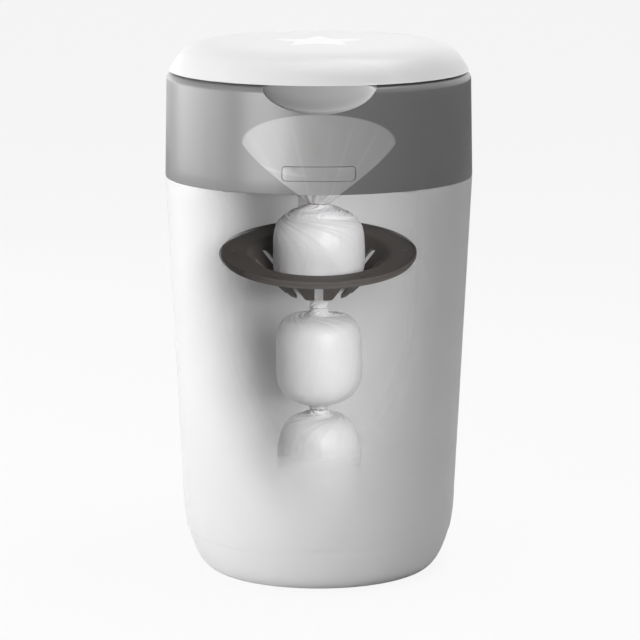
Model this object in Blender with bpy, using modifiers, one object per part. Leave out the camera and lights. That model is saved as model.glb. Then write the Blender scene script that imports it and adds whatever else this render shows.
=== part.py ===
"""Nappy bin that twists each nappy into a chain of wrapped bundles.

Metres, +Z up, origin on the floor at the centre of the base, front facing -Y.
The plan is an ellipse, so turned shells are squashed in depth, and what turns inside stays round.
"""

import math

import bmesh
import bpy
from mathutils import Matrix, Vector

# Fits that the whole part shares
FIT = 0.0003
PLAY = 0.0008
OVERRUN = 0.002
MERGE = 0.00001
SHARP_ANGLE = math.radians(40)

# Outside: half width at the seam between tub and collar, and depth as a share of width
SEAM_HALF = 0.1225
DEPTH_SHARE = 0.96
SEAM_HEIGHT = 0.3204
WALL = 0.0025

# Tub
TUB_TAPER = 0.0126
KNEE_HEIGHT = 0.0644
BASE_FILLET = 0.0258
FLOOR = 0.003
LIP_HEIGHT = 0.007
LIP_WALL = 0.0016
LIP_ROOT = 0.008
LIP_NOTCH_HALF = 0.0145

# Collar
COLLAR_HEIGHT = 0.0836
COLLAR_DRAFT = 0.0015
SHOULDER_DROP = 0.007
SHOULDER_INSET = 0.0019
RIM_WIDTH = 0.0151
LEDGE = 0.002
LEDGE_WIDTH = 0.0065
LEDGE_CLEARANCE = 0.0009
SCOOP_HALF = 0.0438
SCOOP_DEPTH = 0.0095
SCOOP_HEIGHT = 0.0214
SCOOP_WALL = 0.002

# Hinges behind the tub and behind the lid
KNUCKLE_RADIUS = 0.0042
HINGE_PIN_RADIUS = 0.0016
KNUCKLE_MIDDLE = 0.036
KNUCKLE_SIDE = 0.012
WEB_HEIGHT = 0.0115
LID_WEB = 0.0032

# Release button, latch lever and its pin
BUTTON_RISE = 0.0166
BUTTON_WIDTH = 0.057
BUTTON_TALL = 0.0116
BUTTON_CORNER = 0.003
BUTTON_FLANGE = 0.0012
BUTTON_FLANGE_REACH = 0.0025
PLUNGER_HALF = 0.006
PLUNGER_TALL = 0.004
PLUNGER_LOW_SHARE = 0.25
LATCH_INSET = 0.0087
LATCH_RISE = 0.0033
LATCH_HALF = 0.005
LATCH_BOSS = 0.0035
LATCH_PIN_RADIUS = 0.0012
LATCH_THICK = 0.003
LATCH_TOP = 0.0173
LATCH_NOSE_DROP = 0.0138
LATCH_NOSE_TALL = 0.0037
LATCH_NOSE_REACH = 0.0046
LATCH_CHAMFER_SHARE = 0.33
LATCH_BITE = 0.0017
LATCH_ARM_FRONT = 0.0018
LATCH_SHANK_FRONT = 0.0038
CHEEK = 0.0025
CHEEK_DEPTH = 0.0127
CHEEK_TALL = 0.0067
KEEPER_HALF = 0.0095
KEEPER_WALL = 0.0025
KEEPER_TALL = 0.004

# Spring on the latch pin
SPRING_RADIUS = 0.0026
SPRING_WIRE = 0.0004
SPRING_TURNS = 3
SPRING_PITCH = 0.0011
SPRING_LEG = 0.008
SPRING_ROOM = 0.0013

# Deck that carries the turntable
DECK = 0.003
DECK_SCREWS = 6

# Turntable cup, and how far it stays inside the widest plan
CUP_MARGIN = 0.0365
CUP_WALL = 0.002
CUP_DEPTH = 0.0493
CUP_FLANGE = 0.0025
CUP_FLANGE_WIDTH = 0.0078
CUP_FLOOR_WIDTH = 0.020
TOOTH_COUNT = 36
TOOTH_HEIGHT = 0.0019
TOOTH_ROOT = 0.0003
TOOTH_BAND = 0.010
TOOTH_DROP = 0.0018
TOOTH_TIP_SHARE = 0.9
GRIP_COUNT = 3
GRIP_HALF = 0.011
GRIP_THICK = 0.006
GRIP_HEIGHT = 0.0075

# Click pawl under the deck
PAWL_WIDTH = 0.008
PAWL_HALF_ANGLE = math.radians(4)
PAWL_ARM_ANGLE = math.radians(16)
PAWL_ARM_WALL = 0.0032
PAWL_TALL = 0.0097

# Film cassette: tray, pack of film, cap and the film drawn down as a funnel
TRAY_WALL = 0.002
TRAY_INNER_SHARE = 0.7244
TRAY_OUTER_DROP = 0.0109
TRAY_INNER_DROP = 0.0087
PACK_DROP = 0.005
CAP_THICK = 0.002
CAP_SLIT = 0.0027
FILM = 0.0006
FUNNEL_REACH = 0.003
FUNNEL_NECK = 0.009
FUNNEL_BEND_SHARE = 1.15
FUNNEL_LIP = 0.0029

# Inner bezel between the rim and the deck
BEZEL_WALL = 0.002
BEZEL_LAP = 0.003

# Jaw plate that holds each bundle, below and inside the cup, pitched a little towards the front
PLATE_DROP = 0.0431
PLATE_INSET = 0.0075
PLATE_PITCH = math.radians(9)
PLATE_THICK = 0.0018
PLATE_RIM = 0.002
PLATE_RIM_RISE = 0.0015
PLATE_RIM_SLOPE_SHARE = 0.25
JAW_CLEARANCE = 0.0051
JAW_BEND = 0.0025
JAW_TIP_SHARE = 0.4617
JAW_COUNT = 12
SLOT_WIDTH_SHARE = 0.2642
SLOT_INSET = 0.0049
JAW_SCREWS = 6
JAW_SCREW_MARGIN = 0.0095

# Carrier that hangs the jaw plate from the deck
CARRIER_THICK = 0.003
CARRIER_RING_SHARE = 0.1783
CARRIER_HALF = 0.017
SPINE_THICK = 0.005
SPINE_CLEARANCE = 0.0016
SPINE_TAIL = 0.0102
FOOT_CLEARANCE = 0.0027
FOOT_SCREW_HALF = 0.010

# Wrapped bundles and the twisted necks of film between them
BUNDLE_1_SHARE = 0.6568
BUNDLE_1_SAG = 0.0065
BUNDLE_2_SHARE = 0.6185
BUNDLE_2_HEIGHT = 0.0766
BUNDLE_3_SHARE = 0.615
BUNDLE_3_FOOT = 0.020
TOP_NECK = 0.001
NECK_RADIUS = 0.008
LONG_NECK = 0.012
LONG_NECK_UPPER_SHARE = 0.66
SHORT_NECK = 0.0055
BULGE_SHARE = 4.0
BUNDLE_1_END_SHARES = (1.12, 0.55)
BUNDLE_2_END_SHARES = (0.47, 0.25)
BUNDLE_3_END_SHARES = (0.47, 0.25)

# Lid, its liner, seal and star
LID_RISE = 0.0224
LID_FLAT_SHARE = 13.5
LID_EDGE_SHARE = 1.235
LINER_WALL = 0.002
LINER_GAP = 0.0014
LINER_INSET = 0.0036
PLUG_GAP = 0.0025
PLUG_DEPTH = 0.0087
PLUG_CHAMFER = 0.002
SEAL_THICK = 0.0011
SEAL_WIDTH = 0.005
SEAL_INSET = 0.0015
BOSS_RADIUS = 0.004
BOSS_MARGIN = 0.0391
BOSS_COUNT = 4
BOSS_HOLE = 0.011
STAR_RADIUS = 0.037
STAR_WAIST_SHARE = 0.52
STAR_POINTS = 5
STAR_THICK = 0.0008
STAR_TIP = 0.0045

# Fasteners
SCREW_HEAD = 0.0028
SCREW_HEAD_TALL = 0.0015
SCREW_SHANK = 0.0014
SMALL_HEAD = 0.0017
SMALL_HEAD_TALL = 0.0008
SMALL_SHANK = 0.0010

# How finely round shapes are stepped
SHELL_STEPS = 48
RING_STEPS = 36
SOFT_STEPS = 20
FINE_STEPS = 24
PIN_STEPS = 12
SCREW_STEPS = 8
ARC_STEPS = 5
CORNER_STEPS = 4
DOME_STEPS = 8
BUNDLE_STEPS = 12
FUNNEL_STEPS = 5
CURL_POINTS = 9

# Heights and half widths worked out from the sizes above
KNEE_HALF = SEAM_HALF - TUB_TAPER
BASE_HALF = KNEE_HALF - BASE_FILLET
COLLAR_BOTTOM = SEAM_HEIGHT + FIT
COLLAR_TOP = SEAM_HEIGHT + COLLAR_HEIGHT
SHOULDER_HEIGHT = COLLAR_TOP - SHOULDER_DROP
SHOULDER_HALF = SEAM_HALF - COLLAR_DRAFT
TOP_HALF = SHOULDER_HALF - SHOULDER_INSET
RIM_INNER = TOP_HALF - RIM_WIDTH
LIP_OUTER = SEAM_HALF - WALL - PLAY
LIP_INNER = LIP_OUTER - LIP_WALL

BUTTON_HEIGHT = SEAM_HEIGHT + BUTTON_RISE
LEDGE_BOTTOM = BUTTON_HEIGHT + BUTTON_TALL / 2 + LEDGE_CLEARANCE
LEDGE_TOP = LEDGE_BOTTOM + LEDGE
DECK_BOTTOM = LEDGE_TOP + FIT
DECK_TOP = DECK_BOTTOM + DECK

HINGE_Y = SEAM_HALF * DEPTH_SHARE + KNUCKLE_RADIUS + PLAY
HINGE_Z = SEAM_HEIGHT + FIT / 2
LID_HINGE_Y = SHOULDER_HALF * DEPTH_SHARE + KNUCKLE_RADIUS + PLAY
LID_HINGE_Z = COLLAR_TOP - KNUCKLE_RADIUS - PLAY

LATCH_Y = LATCH_INSET - (SEAM_HALF - WALL) * DEPTH_SHARE
LATCH_Z = SEAM_HEIGHT + LATCH_RISE

CUP_RADIUS = SEAM_HALF - CUP_MARGIN
CUP_FLANGE_BOTTOM = DECK_TOP + FIT
CUP_TOP = CUP_FLANGE_BOTTOM + CUP_FLANGE
CUP_BOTTOM = CUP_FLANGE_BOTTOM - CUP_DEPTH
CUP_INNER = CUP_RADIUS - CUP_WALL
TOOTH_TIP = CUP_RADIUS + TOOTH_HEIGHT
DECK_HOLE = TOOTH_TIP + PLAY
TRAY_BOTTOM = CUP_BOTTOM + CUP_WALL + FIT
TRAY_OUTER = CUP_INNER - FIT
TRAY_INNER_RADIUS = CUP_RADIUS * TRAY_INNER_SHARE
TRAY_OUTER_HEIGHT = CUP_DEPTH - TRAY_OUTER_DROP
TRAY_INNER_HEIGHT = CUP_DEPTH - TRAY_INNER_DROP
PACK_HEIGHT = TRAY_OUTER_HEIGHT - PACK_DROP
FUNNEL_MOUTH = TRAY_INNER_RADIUS - PLAY
FUNNEL_TOP = TRAY_BOTTOM + TRAY_INNER_HEIGHT + FIT
FUNNEL_BOTTOM = CUP_BOTTOM - FUNNEL_REACH
FUNNEL_DEPTH = FUNNEL_TOP - FUNNEL_BOTTOM

PLATE_HEIGHT = CUP_BOTTOM - PLATE_DROP
PLATE_RADIUS = CUP_RADIUS - PLATE_INSET
CARRIER_OUTER = PLATE_RADIUS - PLATE_RIM
CARRIER_RING_WIDTH = PLATE_RADIUS * CARRIER_RING_SHARE
CARRIER_INNER = CARRIER_OUTER - CARRIER_RING_WIDTH
JAW_MOUTH = CARRIER_INNER - JAW_CLEARANCE
JAW_TIP = JAW_MOUTH * JAW_TIP_SHARE
JAW_DROP = JAW_MOUTH - JAW_TIP
SLOT_REACH = JAW_MOUTH - SLOT_INSET
SLOT_WIDTH = JAW_TIP * SLOT_WIDTH_SHARE
JAW_SCREW_CIRCLE = PLATE_RADIUS - JAW_SCREW_MARGIN
SPINE_FRONT = TOOTH_TIP + SPINE_CLEARANCE
SPINE_BACK = SPINE_FRONT + SPINE_THICK
CARRIER_TOP = -PLATE_THICK - FIT
CARRIER_BOTTOM = CARRIER_TOP - CARRIER_THICK

BUNDLE_1_RADIUS = JAW_MOUTH * BUNDLE_1_SHARE
BUNDLE_2_RADIUS = JAW_MOUTH * BUNDLE_2_SHARE
BUNDLE_3_RADIUS = JAW_MOUTH * BUNDLE_3_SHARE
BUNDLE_1_LOW = PLATE_HEIGHT - JAW_DROP * math.cos(PLATE_PITCH) - BUNDLE_1_SAG
BUNDLE_2_HIGH = BUNDLE_1_LOW - LONG_NECK
BUNDLE_2_LOW = BUNDLE_2_HIGH - BUNDLE_2_HEIGHT
BUNDLE_3_HIGH = BUNDLE_2_LOW - SHORT_NECK

LID_BOTTOM = COLLAR_TOP + FIT
LID_TOP = LID_BOTTOM + LID_RISE
LINER_BOTTOM = LID_BOTTOM + LINER_GAP
LINER_OUTER = TOP_HALF - WALL - LINER_INSET
PLUG_HALF = RIM_INNER - PLUG_GAP
PLUG_FLOOR = LINER_BOTTOM - PLUG_DEPTH
BOSS_FOOT = PLUG_FLOOR + LINER_WALL + FIT
BOSS_CIRCLE = TOP_HALF - BOSS_MARGIN


def tub_half(height):
    """Half width of the tub's tapering wall."""
    share = (SEAM_HEIGHT - height) / (SEAM_HEIGHT - KNEE_HEIGHT)
    return SEAM_HALF - TUB_TAPER * share


def collar_half(height):
    """Half width of the collar's wall below its shoulder."""
    share = (height - SEAM_HEIGHT) / (SHOULDER_HEIGHT - SEAM_HEIGHT)
    return SEAM_HALF - COLLAR_DRAFT * share


def plan_depth(x, half):
    """Distance from the middle to the front or back of the elliptical plan, at x."""
    return DEPTH_SHARE * math.sqrt(half * half - x * x)


def front_root():
    """Middle of the front wall's thickness, where brackets are rooted."""
    return WALL / 2 - SEAM_HALF * DEPTH_SHARE


def polar(radius, angle, height=0.0):
    """Point at a radius and angle about the upright axis."""
    return Vector((radius * math.cos(angle), radius * math.sin(angle), height))


def spread(count, start=0.0):
    """Evenly spaced angles round a full turn."""
    return [start + math.tau * index / count for index in range(count)]


def arc(centre, reach, start, end, steps):
    """Points along an elliptical arc in an outline."""
    points = []
    for index in range(steps + 1):
        angle = start + (end - start) * index / steps
        points.append((centre[0] + reach[0] * math.cos(angle), centre[1] + reach[1] * math.sin(angle)))
    return points


def make_collection(name):
    """New collection in the scene."""
    group = bpy.data.collections.new(name)
    bpy.context.scene.collection.children.link(group)
    return group


def make_material(name, colour, roughness, metallic=0.0):
    """Plain Principled material."""
    surface = bpy.data.materials.new(name)
    surface.use_nodes = True
    shader = surface.node_tree.nodes["Principled BSDF"]
    shader.inputs["Base Color"].default_value = (*colour, 1.0)
    shader.inputs["Roughness"].default_value = roughness
    shader.inputs["Metallic"].default_value = metallic
    surface.diffuse_color = (*colour, 1.0)
    return surface


def evaluated_mesh(guide):
    """Plain mesh of an object as its modifiers leave it; the guide is removed."""
    bpy.context.view_layer.update()
    graph = bpy.context.evaluated_depsgraph_get()
    mesh = bpy.data.meshes.new_from_object(guide.evaluated_get(graph))
    mesh.transform(guide.matrix_world)
    data = guide.data
    bpy.data.objects.remove(guide)
    if isinstance(data, bpy.types.Curve):
        bpy.data.curves.remove(data)
    else:
        bpy.data.meshes.remove(data)
    return mesh


def weld(mesh):
    """Join coincident points, such as those round a filled cap."""
    shape = bmesh.new()
    shape.from_mesh(mesh)
    bmesh.ops.remove_doubles(shape, verts=shape.verts, dist=MERGE)
    shape.to_mesh(mesh)
    shape.free()
    return mesh


def turned_mesh(outline, steps, squash=1.0):
    """Turn an outline of (radius, height) points about the upright axis."""
    count = len(outline)
    opens_on_axis = outline[0][0] == 0.0 and outline[-1][0] == 0.0
    edges = [(index, index + 1) for index in range(count - 1)]
    if not opens_on_axis:
        edges.append((count - 1, 0))
    profile = bpy.data.meshes.new("profile")
    profile.from_pydata([(radius, 0.0, height) for radius, height in outline], edges, [])
    guide = bpy.data.objects.new("profile", profile)
    bpy.context.scene.collection.objects.link(guide)
    screw = guide.modifiers.new("turn", "SCREW")
    screw.steps = steps
    screw.render_steps = steps
    screw.use_merge_vertices = True
    screw.merge_threshold = MERGE
    mesh = weld(evaluated_mesh(guide))
    mesh.transform(Matrix.Diagonal((1.0, squash, 1.0, 1.0)))
    return mesh


def flat_mesh(outlines, low, high):
    """Flat plate with one or more closed outlines of (x, y) points, between two heights."""
    curve = bpy.data.curves.new("outline", "CURVE")
    curve.dimensions = "2D"
    curve.fill_mode = "BOTH"
    curve.extrude = (high - low) / 2
    for outline in outlines:
        spline = curve.splines.new("POLY")
        spline.points.add(len(outline) - 1)
        for point, place in zip(spline.points, outline):
            point.co = (place[0], place[1], 0.0, 1.0)
        spline.use_cyclic_u = True
    guide = bpy.data.objects.new("outline", curve)
    guide.location = (0.0, 0.0, (low + high) / 2)
    bpy.context.scene.collection.objects.link(guide)
    return weld(evaluated_mesh(guide))


def box_mesh(low, high):
    """Box between two opposite corners."""
    low, high = Vector(low), Vector(high)
    shape = bmesh.new()
    size = high - low
    place = Matrix.Translation((low + high) / 2) @ Matrix.Diagonal((*size, 1.0))
    bmesh.ops.create_cube(shape, size=1.0, matrix=place)
    return finish_mesh(shape)


def rod_mesh(radius, start, end, sides=PIN_STEPS):
    """Round rod between two points."""
    start, end = Vector(start), Vector(end)
    along = end - start
    turn = along.to_track_quat("Z", "Y").to_matrix().to_4x4()
    place = Matrix.Translation((start + end) / 2) @ turn
    shape = bmesh.new()
    bmesh.ops.create_cone(shape, cap_ends=True, segments=sides, radius1=radius, radius2=radius,
                          depth=along.length, matrix=place)
    return finish_mesh(shape)


def finish_mesh(shape):
    """Turn a bmesh into a mesh."""
    mesh = bpy.data.meshes.new("shape")
    shape.to_mesh(mesh)
    shape.free()
    return mesh


def copies_mesh(mesh, places):
    """One mesh holding a copy of the given one at each place."""
    shape = bmesh.new()
    for place in places:
        piece = mesh.copy()
        piece.transform(place)
        shape.from_mesh(piece)
        bpy.data.meshes.remove(piece)
    return finish_mesh(shape)


def along_x(mesh):
    """Turn a flat plate drawn in (x, y) so that it lies in (y, z) and its thickness runs along X."""
    mesh.transform(Matrix(((0, 0, 1, 0), (1, 0, 0, 0), (0, 1, 0, 0), (0, 0, 0, 1))))
    return mesh


def along_y(mesh):
    """Turn a flat plate drawn in (x, y) so that it lies in (x, z) and its thickness runs along Y."""
    mesh.transform(Matrix(((1, 0, 0, 0), (0, 0, -1, 0), (0, 1, 0, 0), (0, 0, 0, 1))))
    return mesh


class Workshop:
    """Adds finished pieces to one collection and cutters to another."""

    def __init__(self):
        self.parts = make_collection("nappy_bin")
        self.cutters = make_collection("nappy_bin_cutters")

    def piece(self, name, mesh, surface):
        """Finished piece of the object."""
        mesh.name = name
        mesh.materials.clear()
        mesh.materials.append(surface)
        mesh.shade_smooth()
        mesh.set_sharp_from_angle(angle=SHARP_ANGLE)
        thing = bpy.data.objects.new(name, mesh)
        self.parts.objects.link(thing)
        return thing

    def cutter(self, name, mesh):
        """Shape that only cuts or is joined to another."""
        mesh.name = name
        thing = bpy.data.objects.new(name, mesh)
        thing.hide_render = True
        thing.display_type = "WIRE"
        self.cutters.objects.link(thing)
        return thing

    def row(self, name, mesh, places, surface):
        """Like pieces that share one mesh, one at each place."""
        things = []
        for index, place in enumerate(places, 1):
            title = f"{name}_{index}" if len(places) > 1 else name
            thing = self.piece(title, mesh, surface)
            thing.matrix_world = place
            things.append(thing)
        return things

    def pivot(self, name, place, parent=None):
        """Empty on a joint's axis, which its pieces hang from."""
        empty = bpy.data.objects.new(name, None)
        self.parts.objects.link(empty)
        empty.location = place
        if parent:
            hang(empty, parent)
        return empty


def combine(body, tool, operation):
    """Cut, join or keep what two solids share."""
    step = body.modifiers.new(operation.lower(), "BOOLEAN")
    step.operation = operation
    step.solver = "EXACT"
    step.object = tool


def hang(thing, parent):
    """Parent a thing without moving it."""
    bpy.context.view_layer.update()
    thing.parent = parent
    thing.matrix_parent_inverse = parent.matrix_world.inverted()


def plate_place():
    """Where the pitched jaw plate's own frame stands."""
    return Matrix.Translation((0.0, 0.0, PLATE_HEIGHT)) @ Matrix.Rotation(PLATE_PITCH, 4, "X")


def tub_outline():
    """Wall and floor of the tub, from the middle of its floor out, up, over and down."""
    inner_fillet = arc((BASE_HALF, KNEE_HEIGHT), (BASE_FILLET - WALL, KNEE_HEIGHT - FLOOR),
                       -math.pi / 2, 0.0, ARC_STEPS)
    outer_fillet = arc((BASE_HALF, KNEE_HEIGHT), (BASE_FILLET, KNEE_HEIGHT), 0.0, -math.pi / 2, ARC_STEPS)
    root = SEAM_HEIGHT - LIP_ROOT
    rim = [
        (tub_half(root) - WALL, root),
        (LIP_INNER, SEAM_HEIGHT - LIP_ROOT / 2),
        (LIP_INNER, SEAM_HEIGHT + LIP_HEIGHT),
        (LIP_OUTER, SEAM_HEIGHT + LIP_HEIGHT),
        (LIP_OUTER, SEAM_HEIGHT),
        (SEAM_HALF, SEAM_HEIGHT),
    ]
    return [(0.0, FLOOR)] + inner_fillet + rim + outer_fillet + [(0.0, 0.0)]


def collar_outline():
    """Wall, rounded shoulder, rim and inner ledge of the collar."""
    shoulder = arc((TOP_HALF - SHOULDER_DROP + SHOULDER_INSET, SHOULDER_HEIGHT),
                   (SHOULDER_DROP, SHOULDER_DROP), math.pi / 2, 0.0, ARC_STEPS)
    return [(RIM_INNER, COLLAR_TOP)] + shoulder + [
        (SEAM_HALF, COLLAR_BOTTOM),
        (SEAM_HALF - WALL, COLLAR_BOTTOM),
        (collar_half(LEDGE_BOTTOM) - WALL, LEDGE_BOTTOM),
        (ledge_inner(), LEDGE_BOTTOM),
        (ledge_inner(), LEDGE_TOP),
        (collar_half(LEDGE_TOP) - WALL, LEDGE_TOP),
        (SHOULDER_HALF - WALL, COLLAR_TOP - WALL),
        (RIM_INNER, COLLAR_TOP - WALL),
    ]


def dome(half, base, rise, steps, down):
    """Outline of the lid's flat-topped dome, from its middle out if down, else from its edge in."""
    points = []
    for index in range(steps + 1):
        angle = math.pi / 2 * index / steps
        share = math.sin(angle) ** (2 / LID_FLAT_SHARE)
        height = math.cos(angle) ** (2 * LID_EDGE_SHARE)
        points.append((half * share, base + rise * height))
    return points if down else points[::-1]


def funnel_outline():
    """Film that rests on the tray's inner wall and draws in to a neck."""
    outer, inner = [], []
    for index in range(FUNNEL_STEPS + 1):
        share = index / FUNNEL_STEPS
        radius = FUNNEL_NECK + (FUNNEL_MOUTH - FUNNEL_NECK) * (1 - share ** FUNNEL_BEND_SHARE)
        height = FUNNEL_TOP - FUNNEL_DEPTH * share
        outer.append((radius, height))
        inner.append((radius - FILM, height))
    lip = [(FUNNEL_MOUTH - FILM, FUNNEL_TOP + FILM), (FUNNEL_MOUTH + FUNNEL_LIP, FUNNEL_TOP + FILM),
           (FUNNEL_MOUTH + FUNNEL_LIP, FUNNEL_TOP)]
    return lip + outer + inner[:0:-1]


def bundle_outline(radius, low, high, feet, ends, necks):
    """Bulging bundle between two heights, with a neck's radius and length at each end."""
    limits = []
    for foot, end in zip(feet, ends):
        limits.append((1 - (foot / radius) ** (1 / end)) ** (1 / BULGE_SHARE))
    first, last = math.asin(limits[1]), -math.asin(limits[0])
    points = []
    for index in range(BUNDLE_STEPS + 1):
        rise = math.sin(first + (last - first) * index / BUNDLE_STEPS)
        end = ends[1] if rise > 0 else ends[0]
        width = radius * (1 - abs(rise) ** BULGE_SHARE) ** end
        share = (rise + limits[0]) / (limits[0] + limits[1])
        points.append((width, low + (high - low) * share))
    above = [(0.0, high + necks[1])]
    if necks[1] > 0:
        above.append((feet[1], high + necks[1]))
    below = [(0.0, low - necks[0])]
    if necks[0] > 0:
        below.insert(0, (feet[0], low - necks[0]))
    return above + points + below


def star_outline(radius):
    """Regular star with blunted tips."""
    points = []
    waist = radius * STAR_WAIST_SHARE
    for index, angle in enumerate(spread(STAR_POINTS, math.pi / 2)):
        tip = polar(radius - STAR_TIP / 2, angle)
        side = polar(STAR_TIP / 2, angle + math.pi / 2)
        points.append((tip - side).to_2d())
        points.append(polar(radius, angle).to_2d())
        points.append((tip + side).to_2d())
        points.append(polar(waist, angle + math.pi / STAR_POINTS).to_2d())
    return points


def rounded_bar(half_wide, half_tall, corner, height, front, back):
    """Bar with rounded corners that runs along Y, centred on a height."""
    corners = [(1, 1, 0.0), (-1, 1, math.pi / 2), (-1, -1, math.pi), (1, -1, math.pi * 3 / 2)]
    outline = []
    for side, rise, start in corners:
        centre = (side * (half_wide - corner), height + rise * (half_tall - corner))
        outline += arc(centre, (corner, corner), start, start + math.pi / 2, CORNER_STEPS)
    return along_y(flat_mesh([outline], -back, -front))


def scoop_mesh(margin):
    """Ellipsoid bent to follow the collar's front wall, centred under the lid's seam."""
    shape = bmesh.new()
    bmesh.ops.create_uvsphere(shape, u_segments=FINE_STEPS, v_segments=PIN_STEPS, radius=1.0)
    for vertex in shape.verts:
        x = vertex.co.x * (SCOOP_HALF + margin)
        y = vertex.co.y * (SCOOP_DEPTH + margin) - plan_depth(x, SHOULDER_HALF)
        vertex.co = (x, y, COLLAR_TOP + vertex.co.z * (SCOOP_HEIGHT + margin))
    return finish_mesh(shape)


def screw_mesh(head, head_tall, shank, length, steps=SCREW_STEPS):
    """Screw with its head's underside at height zero and its shank running down."""
    return turned_mesh([(0.0, head_tall), (head, head_tall), (head, 0.0), (shank, 0.0),
                        (shank, -length), (0.0, -length)], steps)


def hole_mesh(radius, low, high, places):
    """Round cutters along each place's own upright axis."""
    return copies_mesh(rod_mesh(radius, (0.0, 0.0, low), (0.0, 0.0, high), SCREW_STEPS), places)


def barrels(shop, body, name, y, z, spans):
    """Join hinge barrels to a body, one for each span along X."""
    for index, (start, end) in enumerate(spans):
        tool = shop.cutter(f"{name}_barrel_{index}", rod_mesh(KNUCKLE_RADIUS, (start, y, z), (end, y, z)))
        combine(body, tool, "UNION")


def side_spans():
    """Where the two outer barrels of a hinge lie along X."""
    inner = KNUCKLE_MIDDLE / 2 + FIT
    return [(-inner - KNUCKLE_SIDE, -inner), (inner, inner + KNUCKLE_SIDE)]


def middle_span():
    """Where the middle barrel of a hinge lies along X."""
    return [(-KNUCKLE_MIDDLE / 2, KNUCKLE_MIDDLE / 2)]


def pin_reach():
    """Half the length of a hinge pin."""
    return side_spans()[1][1] + FIT


def pin_bore(shop, name, y, z):
    """Cutter for the hole that a hinge pin runs in."""
    reach = pin_reach() + OVERRUN
    return shop.cutter(name, rod_mesh(HINGE_PIN_RADIUS + FIT, (-reach, y, z), (reach, y, z)))


def hinge_pin(shop, name, y, z, surface):
    """Steel pin of a hinge."""
    reach = pin_reach()
    return shop.piece(name, rod_mesh(HINGE_PIN_RADIUS, (-reach, y, z), (reach, y, z)), surface)


def ledge_inner():
    """Half width of the hole inside the collar's ledge."""
    return collar_half(LEDGE_TOP) - WALL - LEDGE_WIDTH


def foot_back():
    """Back end of the carrier's foot, clear of the ledge."""
    return plan_depth(CARRIER_HALF, ledge_inner()) - FOOT_CLEARANCE


def deck_screw_places(height):
    """Where the deck's screws stand, on the collar's ledge."""
    half = ledge_inner() + LEDGE_WIDTH / 2
    start = math.pi / DECK_SCREWS
    return [Matrix.Translation((half * math.cos(angle), plan_depth(half * math.cos(angle), half)
                                * math.copysign(1.0, math.sin(angle)), height))
            for angle in spread(DECK_SCREWS, start)]


def foot_screw_places(height):
    """Where the carrier's two screws stand, behind the turntable."""
    y = foot_back() - SCREW_HEAD - PLAY
    return [Matrix.Translation((side * FOOT_SCREW_HALF, y, height)) for side in (-1, 1)]


def pawl_screw_place(height):
    """Where the click pawl's screw stands."""
    return [Matrix.Translation((DECK_HOLE + PLAY + PAWL_WIDTH / 2, 0.0, height))]


def boss_places(height):
    """Where the lid's screw bosses stand."""
    return [Matrix.Translation(polar(BOSS_CIRCLE, angle, height))
            for angle in spread(BOSS_COUNT, math.pi / BOSS_COUNT)]


def jaw_screw_places():
    """Where the jaw plate's small screws stand, in the room's frame."""
    return [plate_place() @ Matrix.Translation(polar(JAW_SCREW_CIRCLE, angle, FIT))
            for angle in spread(JAW_SCREWS)]


def build_tub(shop, looks):
    """Tub with its rim lip, rear barrels and the keeper for the latch."""
    tub = shop.piece("tub", turned_mesh(tub_outline(), SHELL_STEPS, DEPTH_SHARE), looks["white"])
    wall_y = plan_depth(side_spans()[1][1], SEAM_HALF) - WALL / 2
    for index, (start, end) in enumerate(side_spans()):
        web = box_mesh((start, wall_y, SEAM_HEIGHT - WEB_HEIGHT), (end, HINGE_Y, SEAM_HEIGHT - FIT))
        combine(tub, shop.cutter(f"tub_web_{index}", web), "UNION")
    barrels(shop, tub, "tub", HINGE_Y, HINGE_Z, side_spans())
    combine(tub, shop.cutter("tub_keeper", keeper_mesh()), "UNION")
    notch = box_mesh((-LIP_NOTCH_HALF, -SEAM_HALF, SEAM_HEIGHT + FIT),
                     (LIP_NOTCH_HALF, LATCH_Y, SEAM_HEIGHT + LIP_HEIGHT + OVERRUN))
    combine(tub, shop.cutter("lip_notch", notch), "DIFFERENCE")
    combine(tub, pin_bore(shop, "tub_pin_bore", HINGE_Y, HINGE_Z), "DIFFERENCE")
    return tub


def keeper_mesh():
    """Loop inside the tub's front wall that the latch hooks under."""
    bar_front = LATCH_Y + LATCH_NOSE_REACH - LATCH_BITE
    bar_back = bar_front + KEEPER_WALL
    root = front_root()
    inner = KEEPER_HALF - KEEPER_WALL
    outline = [(-KEEPER_HALF, root), (-inner, root), (-inner, bar_front), (inner, bar_front),
               (inner, root), (KEEPER_HALF, root), (KEEPER_HALF, bar_back), (-KEEPER_HALF, bar_back)]
    low = LATCH_Z - LATCH_NOSE_DROP + FIT
    return flat_mesh([outline], low, low + KEEPER_TALL)


def build_collar(shop, looks):
    """Collar with its scoop, button opening, barrels and the cheeks that hold the latch."""
    collar = shop.piece("collar", turned_mesh(collar_outline(), SHELL_STEPS, DEPTH_SHARE), looks["grey"])
    join_scoop(shop, collar)
    join_collar_hinges(shop, collar)
    join_latch_cheeks(shop, collar)
    opening = rounded_bar(BUTTON_WIDTH / 2, BUTTON_TALL / 2, BUTTON_CORNER, BUTTON_HEIGHT,
                          -SEAM_HALF - OVERRUN, LATCH_Y)
    combine(collar, shop.cutter("button_opening", opening), "DIFFERENCE")
    holes = hole_mesh(SCREW_SHANK + FIT, -OVERRUN, LEDGE + OVERRUN, deck_screw_places(LEDGE_BOTTOM))
    combine(collar, shop.cutter("ledge_holes", holes), "DIFFERENCE")
    return collar


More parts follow.
